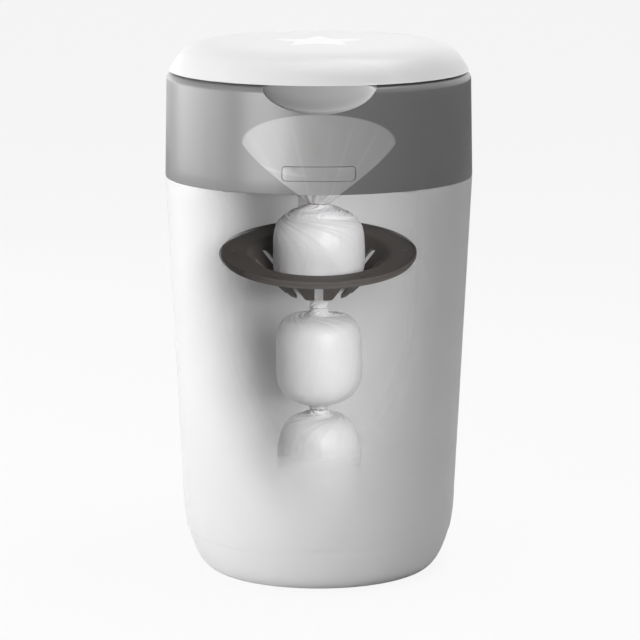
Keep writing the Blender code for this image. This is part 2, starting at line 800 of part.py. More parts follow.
def join_scoop(shop, collar):
    """Thumb scoop: a housing inside the front wall, then the hollow."""
    lining = WALL / 2
    envelope = shop.cutter("collar_envelope", turned_mesh([
        (0.0, COLLAR_TOP - lining), (TOP_HALF - lining, COLLAR_TOP - lining),
        (SHOULDER_HALF - lining, SHOULDER_HEIGHT), (SEAM_HALF - lining, COLLAR_BOTTOM + lining),
        (0.0, COLLAR_BOTTOM + lining)], SHELL_STEPS, DEPTH_SHARE))
    housing = shop.cutter("scoop_housing", scoop_mesh(SCOOP_WALL))
    combine(housing, envelope, "INTERSECT")
    combine(collar, housing, "UNION")
    combine(collar, shop.cutter("scoop_hollow", scoop_mesh(0.0)), "DIFFERENCE")


def join_collar_hinges(shop, collar):
    """Middle barrel of the tub's hinge and the outer barrels of the lid's hinge."""
    wall_y = plan_depth(KNUCKLE_MIDDLE / 2, SEAM_HALF) - WALL / 2
    low, high = HINGE_Z + FIT, HINGE_Z + WEB_HEIGHT
    web = box_mesh((-KNUCKLE_MIDDLE / 2, wall_y, low), (KNUCKLE_MIDDLE / 2, HINGE_Y, high))
    combine(collar, shop.cutter("collar_web", web), "UNION")
    barrels(shop, collar, "collar", HINGE_Y, HINGE_Z, middle_span())
    side_y = plan_depth(side_spans()[1][1], SHOULDER_HALF) - WALL / 2
    for index, (start, end) in enumerate(side_spans()):
        arm = box_mesh((start, side_y, LID_HINGE_Z - WEB_HEIGHT), (end, LID_HINGE_Y, LID_HINGE_Z))
        combine(collar, shop.cutter(f"collar_arm_{index}", arm), "UNION")
    barrels(shop, collar, "collar_top", LID_HINGE_Y, LID_HINGE_Z, side_spans())
    combine(collar, pin_bore(shop, "collar_pin_bore", HINGE_Y, HINGE_Z), "DIFFERENCE")
    combine(collar, pin_bore(shop, "collar_top_pin_bore", LID_HINGE_Y, LID_HINGE_Z), "DIFFERENCE")


def cheek_inner():
    """Distance from the middle to the inner face of a latch cheek."""
    return LATCH_HALF + SPRING_TURNS * SPRING_PITCH + SPRING_WIRE * 2 + SPRING_ROOM


def join_latch_cheeks(shop, collar):
    """Two cheeks behind the front wall with the hole for the latch pin."""
    low = COLLAR_BOTTOM + FIT
    inner = cheek_inner()
    root = front_root()
    for index, side in enumerate((-1, 1)):
        start, end = sorted((side * inner, side * (inner + CHEEK)))
        cheek = box_mesh((start, root, low), (end, root + CHEEK_DEPTH, low + CHEEK_TALL))
        combine(collar, shop.cutter(f"latch_cheek_{index}", cheek), "UNION")
    reach = inner + CHEEK + OVERRUN
    bore = rod_mesh(LATCH_PIN_RADIUS + FIT, (-reach, LATCH_Y, LATCH_Z), (reach, LATCH_Y, LATCH_Z))
    combine(collar, shop.cutter("cheek_bore", bore), "DIFFERENCE")


def wall_slice(outer_inset, inner_inset):
    """Band of the collar's wall round the button, between two depths below its surface."""
    low = BUTTON_HEIGHT - BUTTON_TALL
    high = BUTTON_HEIGHT + BUTTON_TALL
    outline = [(collar_half(high) - inner_inset, high), (collar_half(high) - outer_inset, high),
               (collar_half(low) - outer_inset, low), (collar_half(low) - inner_inset, low)]
    return turned_mesh(outline, SHELL_STEPS, DEPTH_SHARE)


def build_button(shop, looks):
    """Bare release button, flush with the collar, with a retaining flange and a plunger."""
    depth = WALL + FIT + BUTTON_FLANGE
    button = shop.piece("release_button", wall_slice(0.0, depth), looks["grey"])
    face = rounded_bar(BUTTON_WIDTH / 2 - FIT, BUTTON_TALL / 2 - FIT, BUTTON_CORNER - FIT, BUTTON_HEIGHT,
                       -SEAM_HALF - OVERRUN, LATCH_Y)
    combine(button, shop.cutter("button_face", face), "INTERSECT")
    flange = shop.cutter("button_flange", wall_slice(WALL + FIT, depth))
    ends = rounded_bar(BUTTON_WIDTH / 2 + BUTTON_FLANGE_REACH, BUTTON_TALL / 2 - FIT * 2, BUTTON_CORNER - FIT,
                       BUTTON_HEIGHT, -SEAM_HALF - OVERRUN, LATCH_Y)
    combine(flange, shop.cutter("button_flange_ends", ends), "INTERSECT")
    combine(button, flange, "UNION")
    back = DEPTH_SHARE * (collar_half(BUTTON_HEIGHT) - depth)
    low = BUTTON_HEIGHT - PLUNGER_TALL * PLUNGER_LOW_SHARE
    plunger = box_mesh((-PLUNGER_HALF, -back - BUTTON_FLANGE / 2, low),
                       (PLUNGER_HALF, LATCH_Y - LATCH_ARM_FRONT - FIT, low + PLUNGER_TALL))
    combine(button, shop.cutter("button_plunger", plunger), "UNION")
    return button


def build_latch(shop, looks):
    """Lever that the button tips, with a nose under the keeper and a round boss on its pin."""
    back = LATCH_THICK - LATCH_ARM_FRONT
    shank_back = LATCH_THICK - LATCH_SHANK_FRONT
    nose_low = -LATCH_NOSE_DROP - LATCH_NOSE_TALL
    outline = [
        (-LATCH_ARM_FRONT, LATCH_TOP), (back, LATCH_TOP), (back, 0.0), (shank_back, -LATCH_BOSS),
        (shank_back, -LATCH_NOSE_DROP), (LATCH_NOSE_REACH, -LATCH_NOSE_DROP),
        (LATCH_NOSE_REACH, nose_low + LATCH_NOSE_TALL * LATCH_CHAMFER_SHARE), (LATCH_NOSE_REACH / 2, nose_low),
        (-LATCH_SHANK_FRONT, nose_low), (-LATCH_SHANK_FRONT, -LATCH_BOSS), (-LATCH_ARM_FRONT, 0.0),
    ]
    mesh = along_x(flat_mesh([outline], -LATCH_HALF, LATCH_HALF))
    mesh.transform(Matrix.Translation((0.0, LATCH_Y, LATCH_Z)))
    latch = shop.piece("latch_lever", mesh, looks["white"])
    reach = LATCH_HALF - FIT
    boss = rod_mesh(LATCH_BOSS, (-reach, LATCH_Y, LATCH_Z), (reach, LATCH_Y, LATCH_Z))
    combine(latch, shop.cutter("latch_boss", boss), "UNION")
    reach = LATCH_HALF + OVERRUN
    bore = rod_mesh(LATCH_PIN_RADIUS + FIT, (-reach, LATCH_Y, LATCH_Z), (reach, LATCH_Y, LATCH_Z))
    combine(latch, shop.cutter("latch_bore", bore), "DIFFERENCE")
    return latch


def build_latch_pin(shop, looks):
    """Pin of the latch lever, between its cheeks."""
    reach = cheek_inner() + CHEEK
    mesh = rod_mesh(LATCH_PIN_RADIUS, (-reach, LATCH_Y, LATCH_Z), (reach, LATCH_Y, LATCH_Z))
    return shop.piece("latch_pin", mesh, looks["steel"])


def build_latch_spring(shop, looks):
    """Torsion spring on the latch pin: one leg against the front wall, one up beside the lever."""
    start = LATCH_HALF + SPRING_WIRE + FIT
    count = SPRING_TURNS * CURL_POINTS
    points = [(start, SPRING_RADIUS, SPRING_LEG)]
    for index in range(count + 1):
        turn = math.tau * index / CURL_POINTS
        x = start + SPRING_PITCH * index / CURL_POINTS
        points.append((x, SPRING_RADIUS * math.cos(turn), -SPRING_RADIUS * math.sin(turn)))
    last_x = start + SPRING_PITCH * SPRING_TURNS
    points.append((last_x, SPRING_RADIUS, SPRING_LEG / 2))
    curve = bpy.data.curves.new("spring", "CURVE")
    curve.dimensions = "3D"
    curve.bevel_depth = SPRING_WIRE
    curve.bevel_resolution = 1
    curve.use_fill_caps = True
    spline = curve.splines.new("POLY")
    spline.points.add(len(points) - 1)
    for point, place in zip(spline.points, points):
        point.co = (*place, 1.0)
    guide = bpy.data.objects.new("spring", curve)
    guide.location = (0.0, LATCH_Y, LATCH_Z)
    bpy.context.scene.collection.objects.link(guide)
    return shop.piece("latch_spring", weld(evaluated_mesh(guide)), looks["steel"])


def build_deck(shop, looks):
    """Plate on the collar's ledge with the round hole that the turntable hangs in."""
    half = collar_half(DECK_TOP) - WALL - FIT
    mesh = turned_mesh([(0.0, DECK_TOP), (half, DECK_TOP), (half, DECK_BOTTOM), (0.0, DECK_BOTTOM)],
                       SHELL_STEPS, DEPTH_SHARE)
    deck = shop.piece("deck", mesh, looks["white"])
    low, high = DECK_BOTTOM - OVERRUN, DECK_TOP + OVERRUN
    hole = rod_mesh(DECK_HOLE, (0.0, 0.0, low), (0.0, 0.0, high), RING_STEPS)
    combine(deck, shop.cutter("deck_hole", hole), "DIFFERENCE")
    places = deck_screw_places(DECK_BOTTOM) + foot_screw_places(DECK_BOTTOM) + pawl_screw_place(DECK_BOTTOM)
    holes = hole_mesh(SCREW_SHANK + FIT, -OVERRUN, DECK + OVERRUN, places)
    combine(deck, shop.cutter("deck_screw_holes", holes), "DIFFERENCE")
    return deck


def build_deck_screws(shop, looks):
    """Screws that hold the deck down on the collar's ledge, and the carrier's foot under the deck."""
    seat = DECK_TOP + FIT
    through = DECK + LEDGE + FIT * 2
    screw = screw_mesh(SCREW_HEAD, SCREW_HEAD_TALL, SCREW_SHANK, through)
    things = shop.row("deck_screw", screw, deck_screw_places(seat), looks["steel"])
    longer = screw_mesh(SCREW_HEAD, SCREW_HEAD_TALL, SCREW_SHANK, DECK + CARRIER_THICK + FIT * 2)
    things += shop.row("carrier_screw", longer, foot_screw_places(seat), looks["steel"])
    return things


def build_pawl(shop, looks):
    """Click pawl under the deck: a screwed base and a springy arm that ends at the teeth."""
    inner = DECK_HOLE + PLAY
    outer = inner + PAWL_WIDTH
    tip = TOOTH_TIP + FIT
    arm_end = PAWL_ARM_ANGLE
    bend = (PAWL_HALF_ANGLE + PAWL_ARM_ANGLE) / 2
    outline = [polar(inner, -PAWL_HALF_ANGLE), polar(outer, -PAWL_HALF_ANGLE), polar(outer, PAWL_HALF_ANGLE),
               polar(inner + PAWL_ARM_WALL, bend), polar(tip + PAWL_ARM_WALL, arm_end), polar(tip, arm_end),
               polar(inner, bend), polar(inner, PAWL_HALF_ANGLE)]
    mesh = flat_mesh([[point.to_2d() for point in outline]], DECK_BOTTOM - FIT - PAWL_TALL, DECK_BOTTOM - FIT)
    pawl = shop.piece("click_pawl", mesh, looks["white"])
    low = DECK_BOTTOM - FIT - PAWL_TALL
    hole = hole_mesh(SCREW_SHANK + FIT, -OVERRUN, PAWL_TALL + OVERRUN, pawl_screw_place(low))
    combine(pawl, shop.cutter("pawl_hole", hole), "DIFFERENCE")
    screw = screw_mesh(SCREW_HEAD, SCREW_HEAD_TALL, SCREW_SHANK, PAWL_TALL + DECK + FIT)
    flip = Matrix.Rotation(math.pi, 4, "X")
    seats = [place @ flip for place in pawl_screw_place(low - FIT)]
    return [pawl] + shop.row("pawl_screw", screw, seats, looks["steel"])


def build_bezel(shop, looks):
    """Inner bezel that slopes from under the rim to the deck."""
    low, high = DECK_TOP + FIT, COLLAR_TOP - WALL - FIT
    top = RIM_INNER + BEZEL_LAP
    bottom = (CUP_RADIUS + CUP_FLANGE_WIDTH + PLAY) / DEPTH_SHARE
    outline = [(top - BEZEL_WALL, high), (top, high), (bottom + BEZEL_WALL, low), (bottom, low)]
    return shop.piece("inner_bezel", turned_mesh(outline, SHELL_STEPS, DEPTH_SHARE), looks["grey"])


def ratchet_mesh():
    """Ring of saw teeth round the cup, under the deck."""
    step = math.tau / TOOTH_COUNT
    teeth = []
    for angle in spread(TOOTH_COUNT):
        teeth.append(polar(CUP_RADIUS + TOOTH_ROOT, angle).to_2d())
        teeth.append(polar(TOOTH_TIP, angle + step * TOOTH_TIP_SHARE).to_2d())
    middle = CUP_RADIUS - CUP_WALL / 2
    inside = [polar(middle, angle).to_2d() for angle in spread(RING_STEPS)]
    high = DECK_BOTTOM - TOOTH_DROP
    return flat_mesh([teeth, inside], high - TOOTH_BAND, high)


def build_cup(shop, looks):
    """Turntable cup that hangs in the deck's hole by its flange, with teeth and finger grips."""
    rim = CUP_RADIUS + CUP_FLANGE_WIDTH
    floor_inner = CUP_INNER - CUP_FLOOR_WIDTH
    outline = [(CUP_INNER, CUP_TOP), (rim, CUP_TOP), (rim, CUP_FLANGE_BOTTOM), (CUP_RADIUS, CUP_FLANGE_BOTTOM),
               (CUP_RADIUS, CUP_BOTTOM), (floor_inner, CUP_BOTTOM), (floor_inner, CUP_BOTTOM + CUP_WALL),
               (CUP_INNER, CUP_BOTTOM + CUP_WALL)]
    cup = shop.piece("turntable_cup", turned_mesh(outline, RING_STEPS), looks["white"])
    combine(cup, shop.cutter("ratchet_teeth", ratchet_mesh()), "UNION")
    outer = math.sqrt((rim - PLAY) ** 2 - GRIP_HALF ** 2)
    bar = box_mesh((outer - GRIP_THICK, -GRIP_HALF, CUP_TOP - CUP_FLANGE / 2),
                   (outer, GRIP_HALF, CUP_TOP + GRIP_HEIGHT))
    places = [Matrix.Rotation(angle, 4, "Z") for angle in spread(GRIP_COUNT, math.pi / 2)]
    combine(cup, shop.cutter("finger_grips", copies_mesh(bar, places)), "UNION")
    return cup


def build_cassette(shop, looks):
    """Refill cassette: tray, folded film, cap and the film drawn down through the middle."""
    inner, outer = TRAY_INNER_RADIUS, TRAY_OUTER
    low = TRAY_BOTTOM
    floor = low + TRAY_WALL
    outer_top, inner_top = low + TRAY_OUTER_HEIGHT, low + TRAY_INNER_HEIGHT
    tray = [(outer - TRAY_WALL, outer_top), (outer, outer_top), (outer, low), (inner, low), (inner, inner_top),
            (inner + TRAY_WALL, inner_top), (inner + TRAY_WALL, floor), (outer - TRAY_WALL, floor)]
    pack_inner, pack_outer = inner + TRAY_WALL + FIT, outer - TRAY_WALL - FIT
    pack_low = floor + FIT
    pack_high = floor + PACK_HEIGHT
    pack = [(pack_inner, pack_high), (pack_outer, pack_high), (pack_outer, pack_low), (pack_inner, pack_low)]
    cap_inner = inner + TRAY_WALL + CAP_SLIT
    cap_low = outer_top + FIT
    cap_high = cap_low + CAP_THICK
    cap = [(cap_inner, cap_high), (outer, cap_high), (outer, cap_low), (cap_inner, cap_low)]
    return [
        shop.piece("cassette_tray", turned_mesh(tray, RING_STEPS), looks["cassette"]),
        shop.piece("film_pack", turned_mesh(pack, RING_STEPS), looks["film"]),
        shop.piece("cassette_cap", turned_mesh(cap, RING_STEPS), looks["cassette"]),
        shop.piece("film_funnel", turned_mesh(funnel_outline(), FINE_STEPS), looks["film"]),
    ]


def jaw_outline():
    """Flat ring with a raised rim, then the cone of the jaws down to their tips."""
    slant = PLATE_THICK * math.sin(math.pi / 4)
    drop = JAW_DROP
    rim = PLATE_RADIUS - PLATE_RIM
    return [
        (JAW_TIP, -drop), (JAW_MOUTH - JAW_BEND, -JAW_BEND), (JAW_MOUTH + JAW_BEND, 0.0), (rim, 0.0),
        (rim + PLATE_RIM * PLATE_RIM_SLOPE_SHARE, PLATE_RIM_RISE), (PLATE_RADIUS, PLATE_RIM_RISE),
        (PLATE_RADIUS, -PLATE_THICK),
        (JAW_MOUTH + JAW_BEND, -PLATE_THICK), (JAW_MOUTH - JAW_BEND + slant, -JAW_BEND - slant),
        (JAW_TIP + slant, -drop - slant),
    ]


def build_jaw_plate(shop, looks):
    """Dark plate with a ring of slotted jaws that grip the bundle from below."""
    plate = shop.piece("jaw_plate", turned_mesh(jaw_outline(), SHELL_STEPS), looks["dark"])
    plate.matrix_world = plate_place()
    centre = SLOT_REACH - SLOT_WIDTH / 2
    start = JAW_TIP - SLOT_WIDTH
    outline = [(start, SLOT_WIDTH / 2), (start, -SLOT_WIDTH / 2)]
    outline += arc((centre, 0.0), (SLOT_WIDTH / 2, SLOT_WIDTH / 2), -math.pi / 2, math.pi / 2, CORNER_STEPS)
    slot = flat_mesh([outline], -JAW_DROP - PLATE_THICK - OVERRUN, OVERRUN)
    places = [plate_place() @ Matrix.Rotation(angle, 4, "Z") for angle in spread(JAW_COUNT)]
    combine(plate, shop.cutter("jaw_slots", copies_mesh(slot, places)), "DIFFERENCE")
    holes = hole_mesh(SMALL_SHANK + FIT, -PLATE_THICK - OVERRUN, OVERRUN, jaw_screw_places())
    combine(plate, shop.cutter("jaw_screw_holes", holes), "DIFFERENCE")
    return plate


def build_jaw_carrier(shop, looks):
    """Ring under the jaw plate on an arm and a spine that hang from the deck at the back."""
    outer, inner = CARRIER_OUTER, CARRIER_INNER
    ring = turned_mesh([(inner, CARRIER_TOP), (outer, CARRIER_TOP), (outer, CARRIER_BOTTOM),
                        (inner, CARRIER_BOTTOM)], RING_STEPS)
    ring.transform(plate_place())
    carrier = shop.piece("jaw_carrier", ring, looks["dark"])
    arm = box_mesh((-CARRIER_HALF + FIT, outer - CARRIER_RING_WIDTH / 2, CARRIER_BOTTOM + FIT),
                   (CARRIER_HALF - FIT, SPINE_BACK - PLAY, CARRIER_TOP - FIT))
    arm.transform(plate_place())
    combine(carrier, shop.cutter("carrier_arm", arm), "UNION")
    low = PLATE_HEIGHT + SPINE_FRONT * math.sin(PLATE_PITCH) - SPINE_TAIL
    top = DECK_BOTTOM - FIT
    spine = box_mesh((-CARRIER_HALF, SPINE_FRONT, low), (CARRIER_HALF, SPINE_BACK, top - CARRIER_THICK / 2))
    combine(carrier, shop.cutter("carrier_spine", spine), "UNION")
    foot = box_mesh((-CARRIER_HALF - FIT, SPINE_FRONT - FIT, top - CARRIER_THICK),
                    (CARRIER_HALF + FIT, foot_back(), top))
    combine(carrier, shop.cutter("carrier_foot", foot), "UNION")
    holes = hole_mesh(SCREW_SHANK + FIT, -CARRIER_THICK - OVERRUN, OVERRUN, foot_screw_places(top))
    combine(carrier, shop.cutter("carrier_holes", holes), "DIFFERENCE")
    small = hole_mesh(SMALL_SHANK + FIT, CARRIER_BOTTOM - OVERRUN, OVERRUN, jaw_screw_places())
    combine(carrier, shop.cutter("carrier_small_holes", small), "DIFFERENCE")
    return carrier


def build_jaw_screws(shop, looks):
    """Small screws that hold the jaw plate on its carrier."""
    length = PLATE_THICK + CARRIER_THICK + FIT
    screw = screw_mesh(SMALL_HEAD, SMALL_HEAD_TALL, SMALL_SHANK, length)
    return shop.row("jaw_screw", screw, jaw_screw_places(), looks["dark"])


def build_bundles(shop, looks):
    """Three wrapped bundles: one in the jaws and two below it that stand on the tub's floor."""
    funnel_end = FUNNEL_BOTTOM - FIT
    upper_neck = LONG_NECK * LONG_NECK_UPPER_SHARE
    lower_neck = LONG_NECK - upper_neck - FIT
    first = bundle_outline(BUNDLE_1_RADIUS, BUNDLE_1_LOW, funnel_end - TOP_NECK,
                           (NECK_RADIUS, FUNNEL_NECK), BUNDLE_1_END_SHARES, (upper_neck, TOP_NECK))
    second = bundle_outline(BUNDLE_2_RADIUS, BUNDLE_2_LOW, BUNDLE_2_HIGH, (NECK_RADIUS, NECK_RADIUS),
                            BUNDLE_2_END_SHARES, (SHORT_NECK / 2, lower_neck))
    third = bundle_outline(BUNDLE_3_RADIUS, FLOOR + FIT, BUNDLE_3_HIGH, (BUNDLE_3_FOOT, NECK_RADIUS),
                           BUNDLE_3_END_SHARES, (0.0, SHORT_NECK / 2 - FIT))
    names = ("bundle_1", "bundle_2", "bundle_3")
    return [shop.piece(name, turned_mesh(outline, SOFT_STEPS), looks["bundle"])
            for name, outline in zip(names, (first, second, third))]


def build_lid(shop, looks):
    """Domed lid with its hinge arm, screw bosses and a pocket for the star."""
    outline = dome(TOP_HALF, LID_BOTTOM, LID_RISE, DOME_STEPS, True)
    outline += dome(TOP_HALF - WALL, LID_BOTTOM, LID_RISE - WALL, DOME_STEPS, False)
    lid = shop.piece("lid", turned_mesh(outline, SHELL_STEPS, DEPTH_SHARE), looks["white"])
    half = KNUCKLE_MIDDLE / 2
    wall_y = plan_depth(half, TOP_HALF) - WALL / 2
    back = LID_HINGE_Y + LID_WEB / 2
    top = LID_BOTTOM + LID_WEB + FIT * 2
    shelf = box_mesh((-half, wall_y, LID_BOTTOM + FIT * 2), (half, back, top))
    combine(lid, shop.cutter("lid_shelf", shelf), "UNION")
    arm = box_mesh((-half + FIT, LID_HINGE_Y - LID_WEB / 2, LID_HINGE_Z), (half - FIT, back - FIT, top - FIT))
    combine(lid, shop.cutter("lid_arm", arm), "UNION")
    barrels(shop, lid, "lid", LID_HINGE_Y, LID_HINGE_Z, middle_span())
    combine(lid, pin_bore(shop, "lid_pin_bore", LID_HINGE_Y, LID_HINGE_Z), "DIFFERENCE")
    length = LID_TOP - WALL / 2 - BOSS_FOOT
    boss = rod_mesh(BOSS_RADIUS, (0.0, 0.0, 0.0), (0.0, 0.0, length))
    combine(lid, shop.cutter("lid_bosses", copies_mesh(boss, boss_places(BOSS_FOOT))), "UNION")
    holes = hole_mesh(SCREW_SHANK + FIT, -OVERRUN, BOSS_HOLE, boss_places(BOSS_FOOT))
    combine(lid, shop.cutter("boss_holes", holes), "DIFFERENCE")
    pocket = flat_mesh([star_outline(STAR_RADIUS + FIT)], LID_TOP - STAR_THICK - FIT, LID_TOP + OVERRUN)
    combine(lid, shop.cutter("star_pocket", pocket), "DIFFERENCE")
    return lid


def build_lid_inside(shop, looks):
    """Liner with its plug, the seal ring, the star and the liner's screws."""
    floor = PLUG_FLOOR + LINER_WALL
    inner = PLUG_HALF - LINER_WALL
    liner = [(0.0, floor), (inner - PLUG_CHAMFER, floor), (inner, floor + PLUG_CHAMFER),
             (inner, LINER_BOTTOM + LINER_WALL), (LINER_OUTER, LINER_BOTTOM + LINER_WALL),
             (LINER_OUTER, LINER_BOTTOM), (PLUG_HALF, LINER_BOTTOM), (PLUG_HALF, PLUG_FLOOR + PLUG_CHAMFER),
             (PLUG_HALF - PLUG_CHAMFER, PLUG_FLOOR), (0.0, PLUG_FLOOR)]
    panel = shop.piece("lid_liner", turned_mesh(liner, SHELL_STEPS, DEPTH_SHARE), looks["white"])
    holes = hole_mesh(SCREW_SHANK + FIT, -LINER_WALL - OVERRUN * 2, OVERRUN, boss_places(BOSS_FOOT))
    combine(panel, shop.cutter("liner_holes", holes), "DIFFERENCE")
    seal_inner = RIM_INNER + SEAL_INSET
    seal = [(seal_inner, LID_BOTTOM + SEAL_THICK), (seal_inner + SEAL_WIDTH, LID_BOTTOM + SEAL_THICK),
            (seal_inner + SEAL_WIDTH, LID_BOTTOM), (seal_inner, LID_BOTTOM)]
    ring = shop.piece("lid_seal", turned_mesh(seal, SHELL_STEPS, DEPTH_SHARE), looks["rubber"])
    star = shop.piece("lid_star", flat_mesh([star_outline(STAR_RADIUS)], LID_TOP - STAR_THICK, LID_TOP),
                      looks["star"])
    screw = screw_mesh(SCREW_HEAD, SCREW_HEAD_TALL, SCREW_SHANK, BOSS_HOLE)
    flip = Matrix.Rotation(math.pi, 4, "X")
    seats = [place @ flip for place in boss_places(PLUG_FLOOR - FIT)]
    return [panel, ring, star] + shop.row("liner_screw", screw, seats, looks["steel"])


def make_looks():
    """Materials of the pieces."""
    return {
        "white": make_material("white plastic", (0.86, 0.86, 0.86), 0.30),
        "grey": make_material("grey plastic", (0.33, 0.33, 0.33), 0.35),
        "dark": make_material("dark plastic", (0.085, 0.075, 0.070), 0.45),
        "cassette": make_material("cassette plastic", (0.72, 0.73, 0.74), 0.40),
        "film": make_material("film", (0.82, 0.82, 0.83), 0.30),
        "bundle": make_material("wrapped bundle", (0.80, 0.79, 0.80), 0.35),
        "rubber": make_material("seal rubber", (0.20, 0.20, 0.20), 0.70),
        "star": make_material("star plastic", (0.92, 0.92, 0.92), 0.25),
        "steel": make_material("steel", (0.55, 0.55, 0.56), 0.30, 1.0),
    }


def main():
    """Build every piece and hang the moving ones from empties on their axes."""
    for thing in list(bpy.data.objects):
        bpy.data.objects.remove(thing)
    shop = Workshop()
    looks = make_looks()

    build_tub(shop, looks)
    hinge_pin(shop, "tub_hinge_pin", HINGE_Y, HINGE_Z, looks["steel"])
    first_bundle = build_bundles(shop, looks)[0]

    collar_hinge = shop.pivot("collar_hinge", (0.0, HINGE_Y, HINGE_Z))
    carried = [build_collar(shop, looks), build_bezel(shop, looks), build_deck(shop, looks)]
    carried += build_deck_screws(shop, looks)
    carried += build_pawl(shop, looks) + [build_jaw_carrier(shop, looks), build_jaw_plate(shop, looks)]
    carried += build_jaw_screws(shop, looks) + [build_latch_pin(shop, looks), build_latch_spring(shop, looks)]
    carried += [hinge_pin(shop, "lid_hinge_pin", LID_HINGE_Y, LID_HINGE_Z, looks["steel"]), first_bundle]
    for thing in carried:
        hang(thing, collar_hinge)

    lid_hinge = shop.pivot("lid_hinge", (0.0, LID_HINGE_Y, LID_HINGE_Z), collar_hinge)
    for thing in [build_lid(shop, looks)] + build_lid_inside(shop, looks):
        hang(thing, lid_hinge)

    turntable_axis = shop.pivot("turntable_axis", (0.0, 0.0, CUP_FLANGE_BOTTOM), collar_hinge)
    for thing in [build_cup(shop, looks)] + build_cassette(shop, looks):
        hang(thing, turntable_axis)

    button_slide = shop.pivot("button_slide", (0.0, front_root(), BUTTON_HEIGHT), collar_hinge)
    hang(build_button(shop, looks), button_slide)
    latch_pivot = shop.pivot("latch_pivot", (0.0, LATCH_Y, LATCH_Z), collar_hinge)
    hang(build_latch(shop, looks), latch_pivot)
    bpy.context.view_layer.update()


if __name__ == "__main__":
    main()
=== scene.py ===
"""Looks of the nappy bin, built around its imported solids.

Metres, +Z up, origin on the floor, front facing -Y. Shells, jaws and screws are made by Geometry Nodes,
wrapped bundles by vertex moves, and every finish is a procedural material on object coordinates.
"""
import math

import bmesh
import bpy
import numpy as np
from mathutils import Matrix, Vector


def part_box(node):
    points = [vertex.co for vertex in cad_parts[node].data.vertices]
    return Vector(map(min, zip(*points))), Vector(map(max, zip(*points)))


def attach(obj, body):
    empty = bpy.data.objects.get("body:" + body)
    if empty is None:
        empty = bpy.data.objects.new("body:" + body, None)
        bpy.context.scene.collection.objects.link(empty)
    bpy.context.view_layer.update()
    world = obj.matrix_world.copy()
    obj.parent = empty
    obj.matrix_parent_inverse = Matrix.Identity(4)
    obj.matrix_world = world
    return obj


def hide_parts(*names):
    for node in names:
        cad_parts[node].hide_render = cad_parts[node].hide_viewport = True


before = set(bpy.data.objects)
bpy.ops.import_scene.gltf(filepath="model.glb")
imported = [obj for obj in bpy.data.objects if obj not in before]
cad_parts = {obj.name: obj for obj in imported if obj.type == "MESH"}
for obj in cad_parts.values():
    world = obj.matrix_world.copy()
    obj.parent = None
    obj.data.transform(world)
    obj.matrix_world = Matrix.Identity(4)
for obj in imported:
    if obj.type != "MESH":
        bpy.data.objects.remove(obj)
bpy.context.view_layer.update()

bl_info = {
    "name": "Nappy bin",
    "version": (1, 0, 0),
    "blender": (4, 5, 0),
    "location": "3D View > Sidebar > Nappy bin",
    "description": "Builds a nappy bin with its collar, lid, film cassette, jaws and wrapped bundles",
    "category": "Object",
}

# Fits and fineness
FIT = 0.0003
PLAY = 0.0008
OVERRUN = 0.002
MERGE = 0.00001
EASE = 0.0005
EASE_STEPS = 3
EASE_SHARE = 0.45
LONGEST_STEP = 0.012
SHARP_ANGLE = math.radians(32)
STAR_ANGLE = math.radians(12)
FILM_ANGLE = math.radians(60)
BUNDLE_ANGLE = math.radians(75)
OVAL_STEPS = 192
ROD_SIDES = 32
SCREW_SIDES = 24
ARC_STEPS = 8
FILLET_STEPS = 24
DOME_STEPS = 40

# Where the photograph was taken from, and the lens that gives its frame
STATION = (0.0009, -2.6514, 0.70845)
STATION_TILT = math.radians(79.17)
LENS_MM = 188.4
SENSOR_MM = 36.0

# Outside of the tub
SEAM_HALF = 0.1225
SEAM_HEIGHT = 0.3204
WALL = 0.0025
TUB_TAPER = 0.0126
KNEE_HEIGHT = 0.0644
BASE_FILLET = 0.0258
BASE_LINE = 0.033
BASE_LINE_DEPTH = 0.0006
BASE_LINE_REACH = 0.005
BASE_LINE_RATE = 3
BASE_LINE_SHARES = (-0.04, 0.04, 0.12, 0.25, 0.5, 0.8, 1.2)
FLOOR = 0.003
LIP_HEIGHT = 0.007
LIP_WALL = 0.0016
LIP_ROOT = 0.008
LIP_NOTCH_HALF = 0.0145

# Collar, its scoop and its button
COLLAR_HEIGHT = 0.0836
COLLAR_DRAFT = 0.0015
SHOULDER_DROP = 0.007
SHOULDER_INSET = 0.0019
RIM_WIDTH = 0.0151
LEDGE = 0.002
LEDGE_WIDTH = 0.0065
LEDGE_CLEARANCE = 0.0009
SCOOP_HALF = 0.0438
SCOOP_DEPTH = 0.0095
SCOOP_HEIGHT = 0.0214
SCOOP_WALL = 0.002
SCOOP_STEPS = 64
BUTTON_RISE = 0.0166
BUTTON_WIDTH = 0.057
BUTTON_TALL = 0.0116
BUTTON_CORNER = 0.003
BUTTON_GAP = 0.0005
BUTTON_FLANGE = 0.0012
BUTTON_FLANGE_REACH = 0.0025
BUTTON_EDGE = 0.0003
PLUNGER_HALF = 0.006
PLUNGER_TALL = 0.004
PLUNGER_LOW_SHARE = 0.25

# Hinges and latch
KNUCKLE_RADIUS = 0.0042
HINGE_PIN_RADIUS = 0.0016
KNUCKLE_MIDDLE = 0.036
KNUCKLE_SIDE = 0.012
WEB_HEIGHT = 0.0115
LID_WEB = 0.0032
LATCH_INSET = 0.0087
LATCH_RISE = 0.0033
LATCH_NOSE_DROP = 0.0138
LATCH_NOSE_REACH = 0.0046
LATCH_BITE = 0.0017
LATCH_ARM_FRONT = 0.0018
LATCH_PIN_RADIUS = 0.0012
CHEEK = 0.0025
CHEEK_INNER = 0.0104
CHEEK_DEPTH = 0.0127
CHEEK_TALL = 0.0067
KEEPER_HALF = 0.0095
KEEPER_WALL = 0.0025
KEEPER_TALL = 0.004

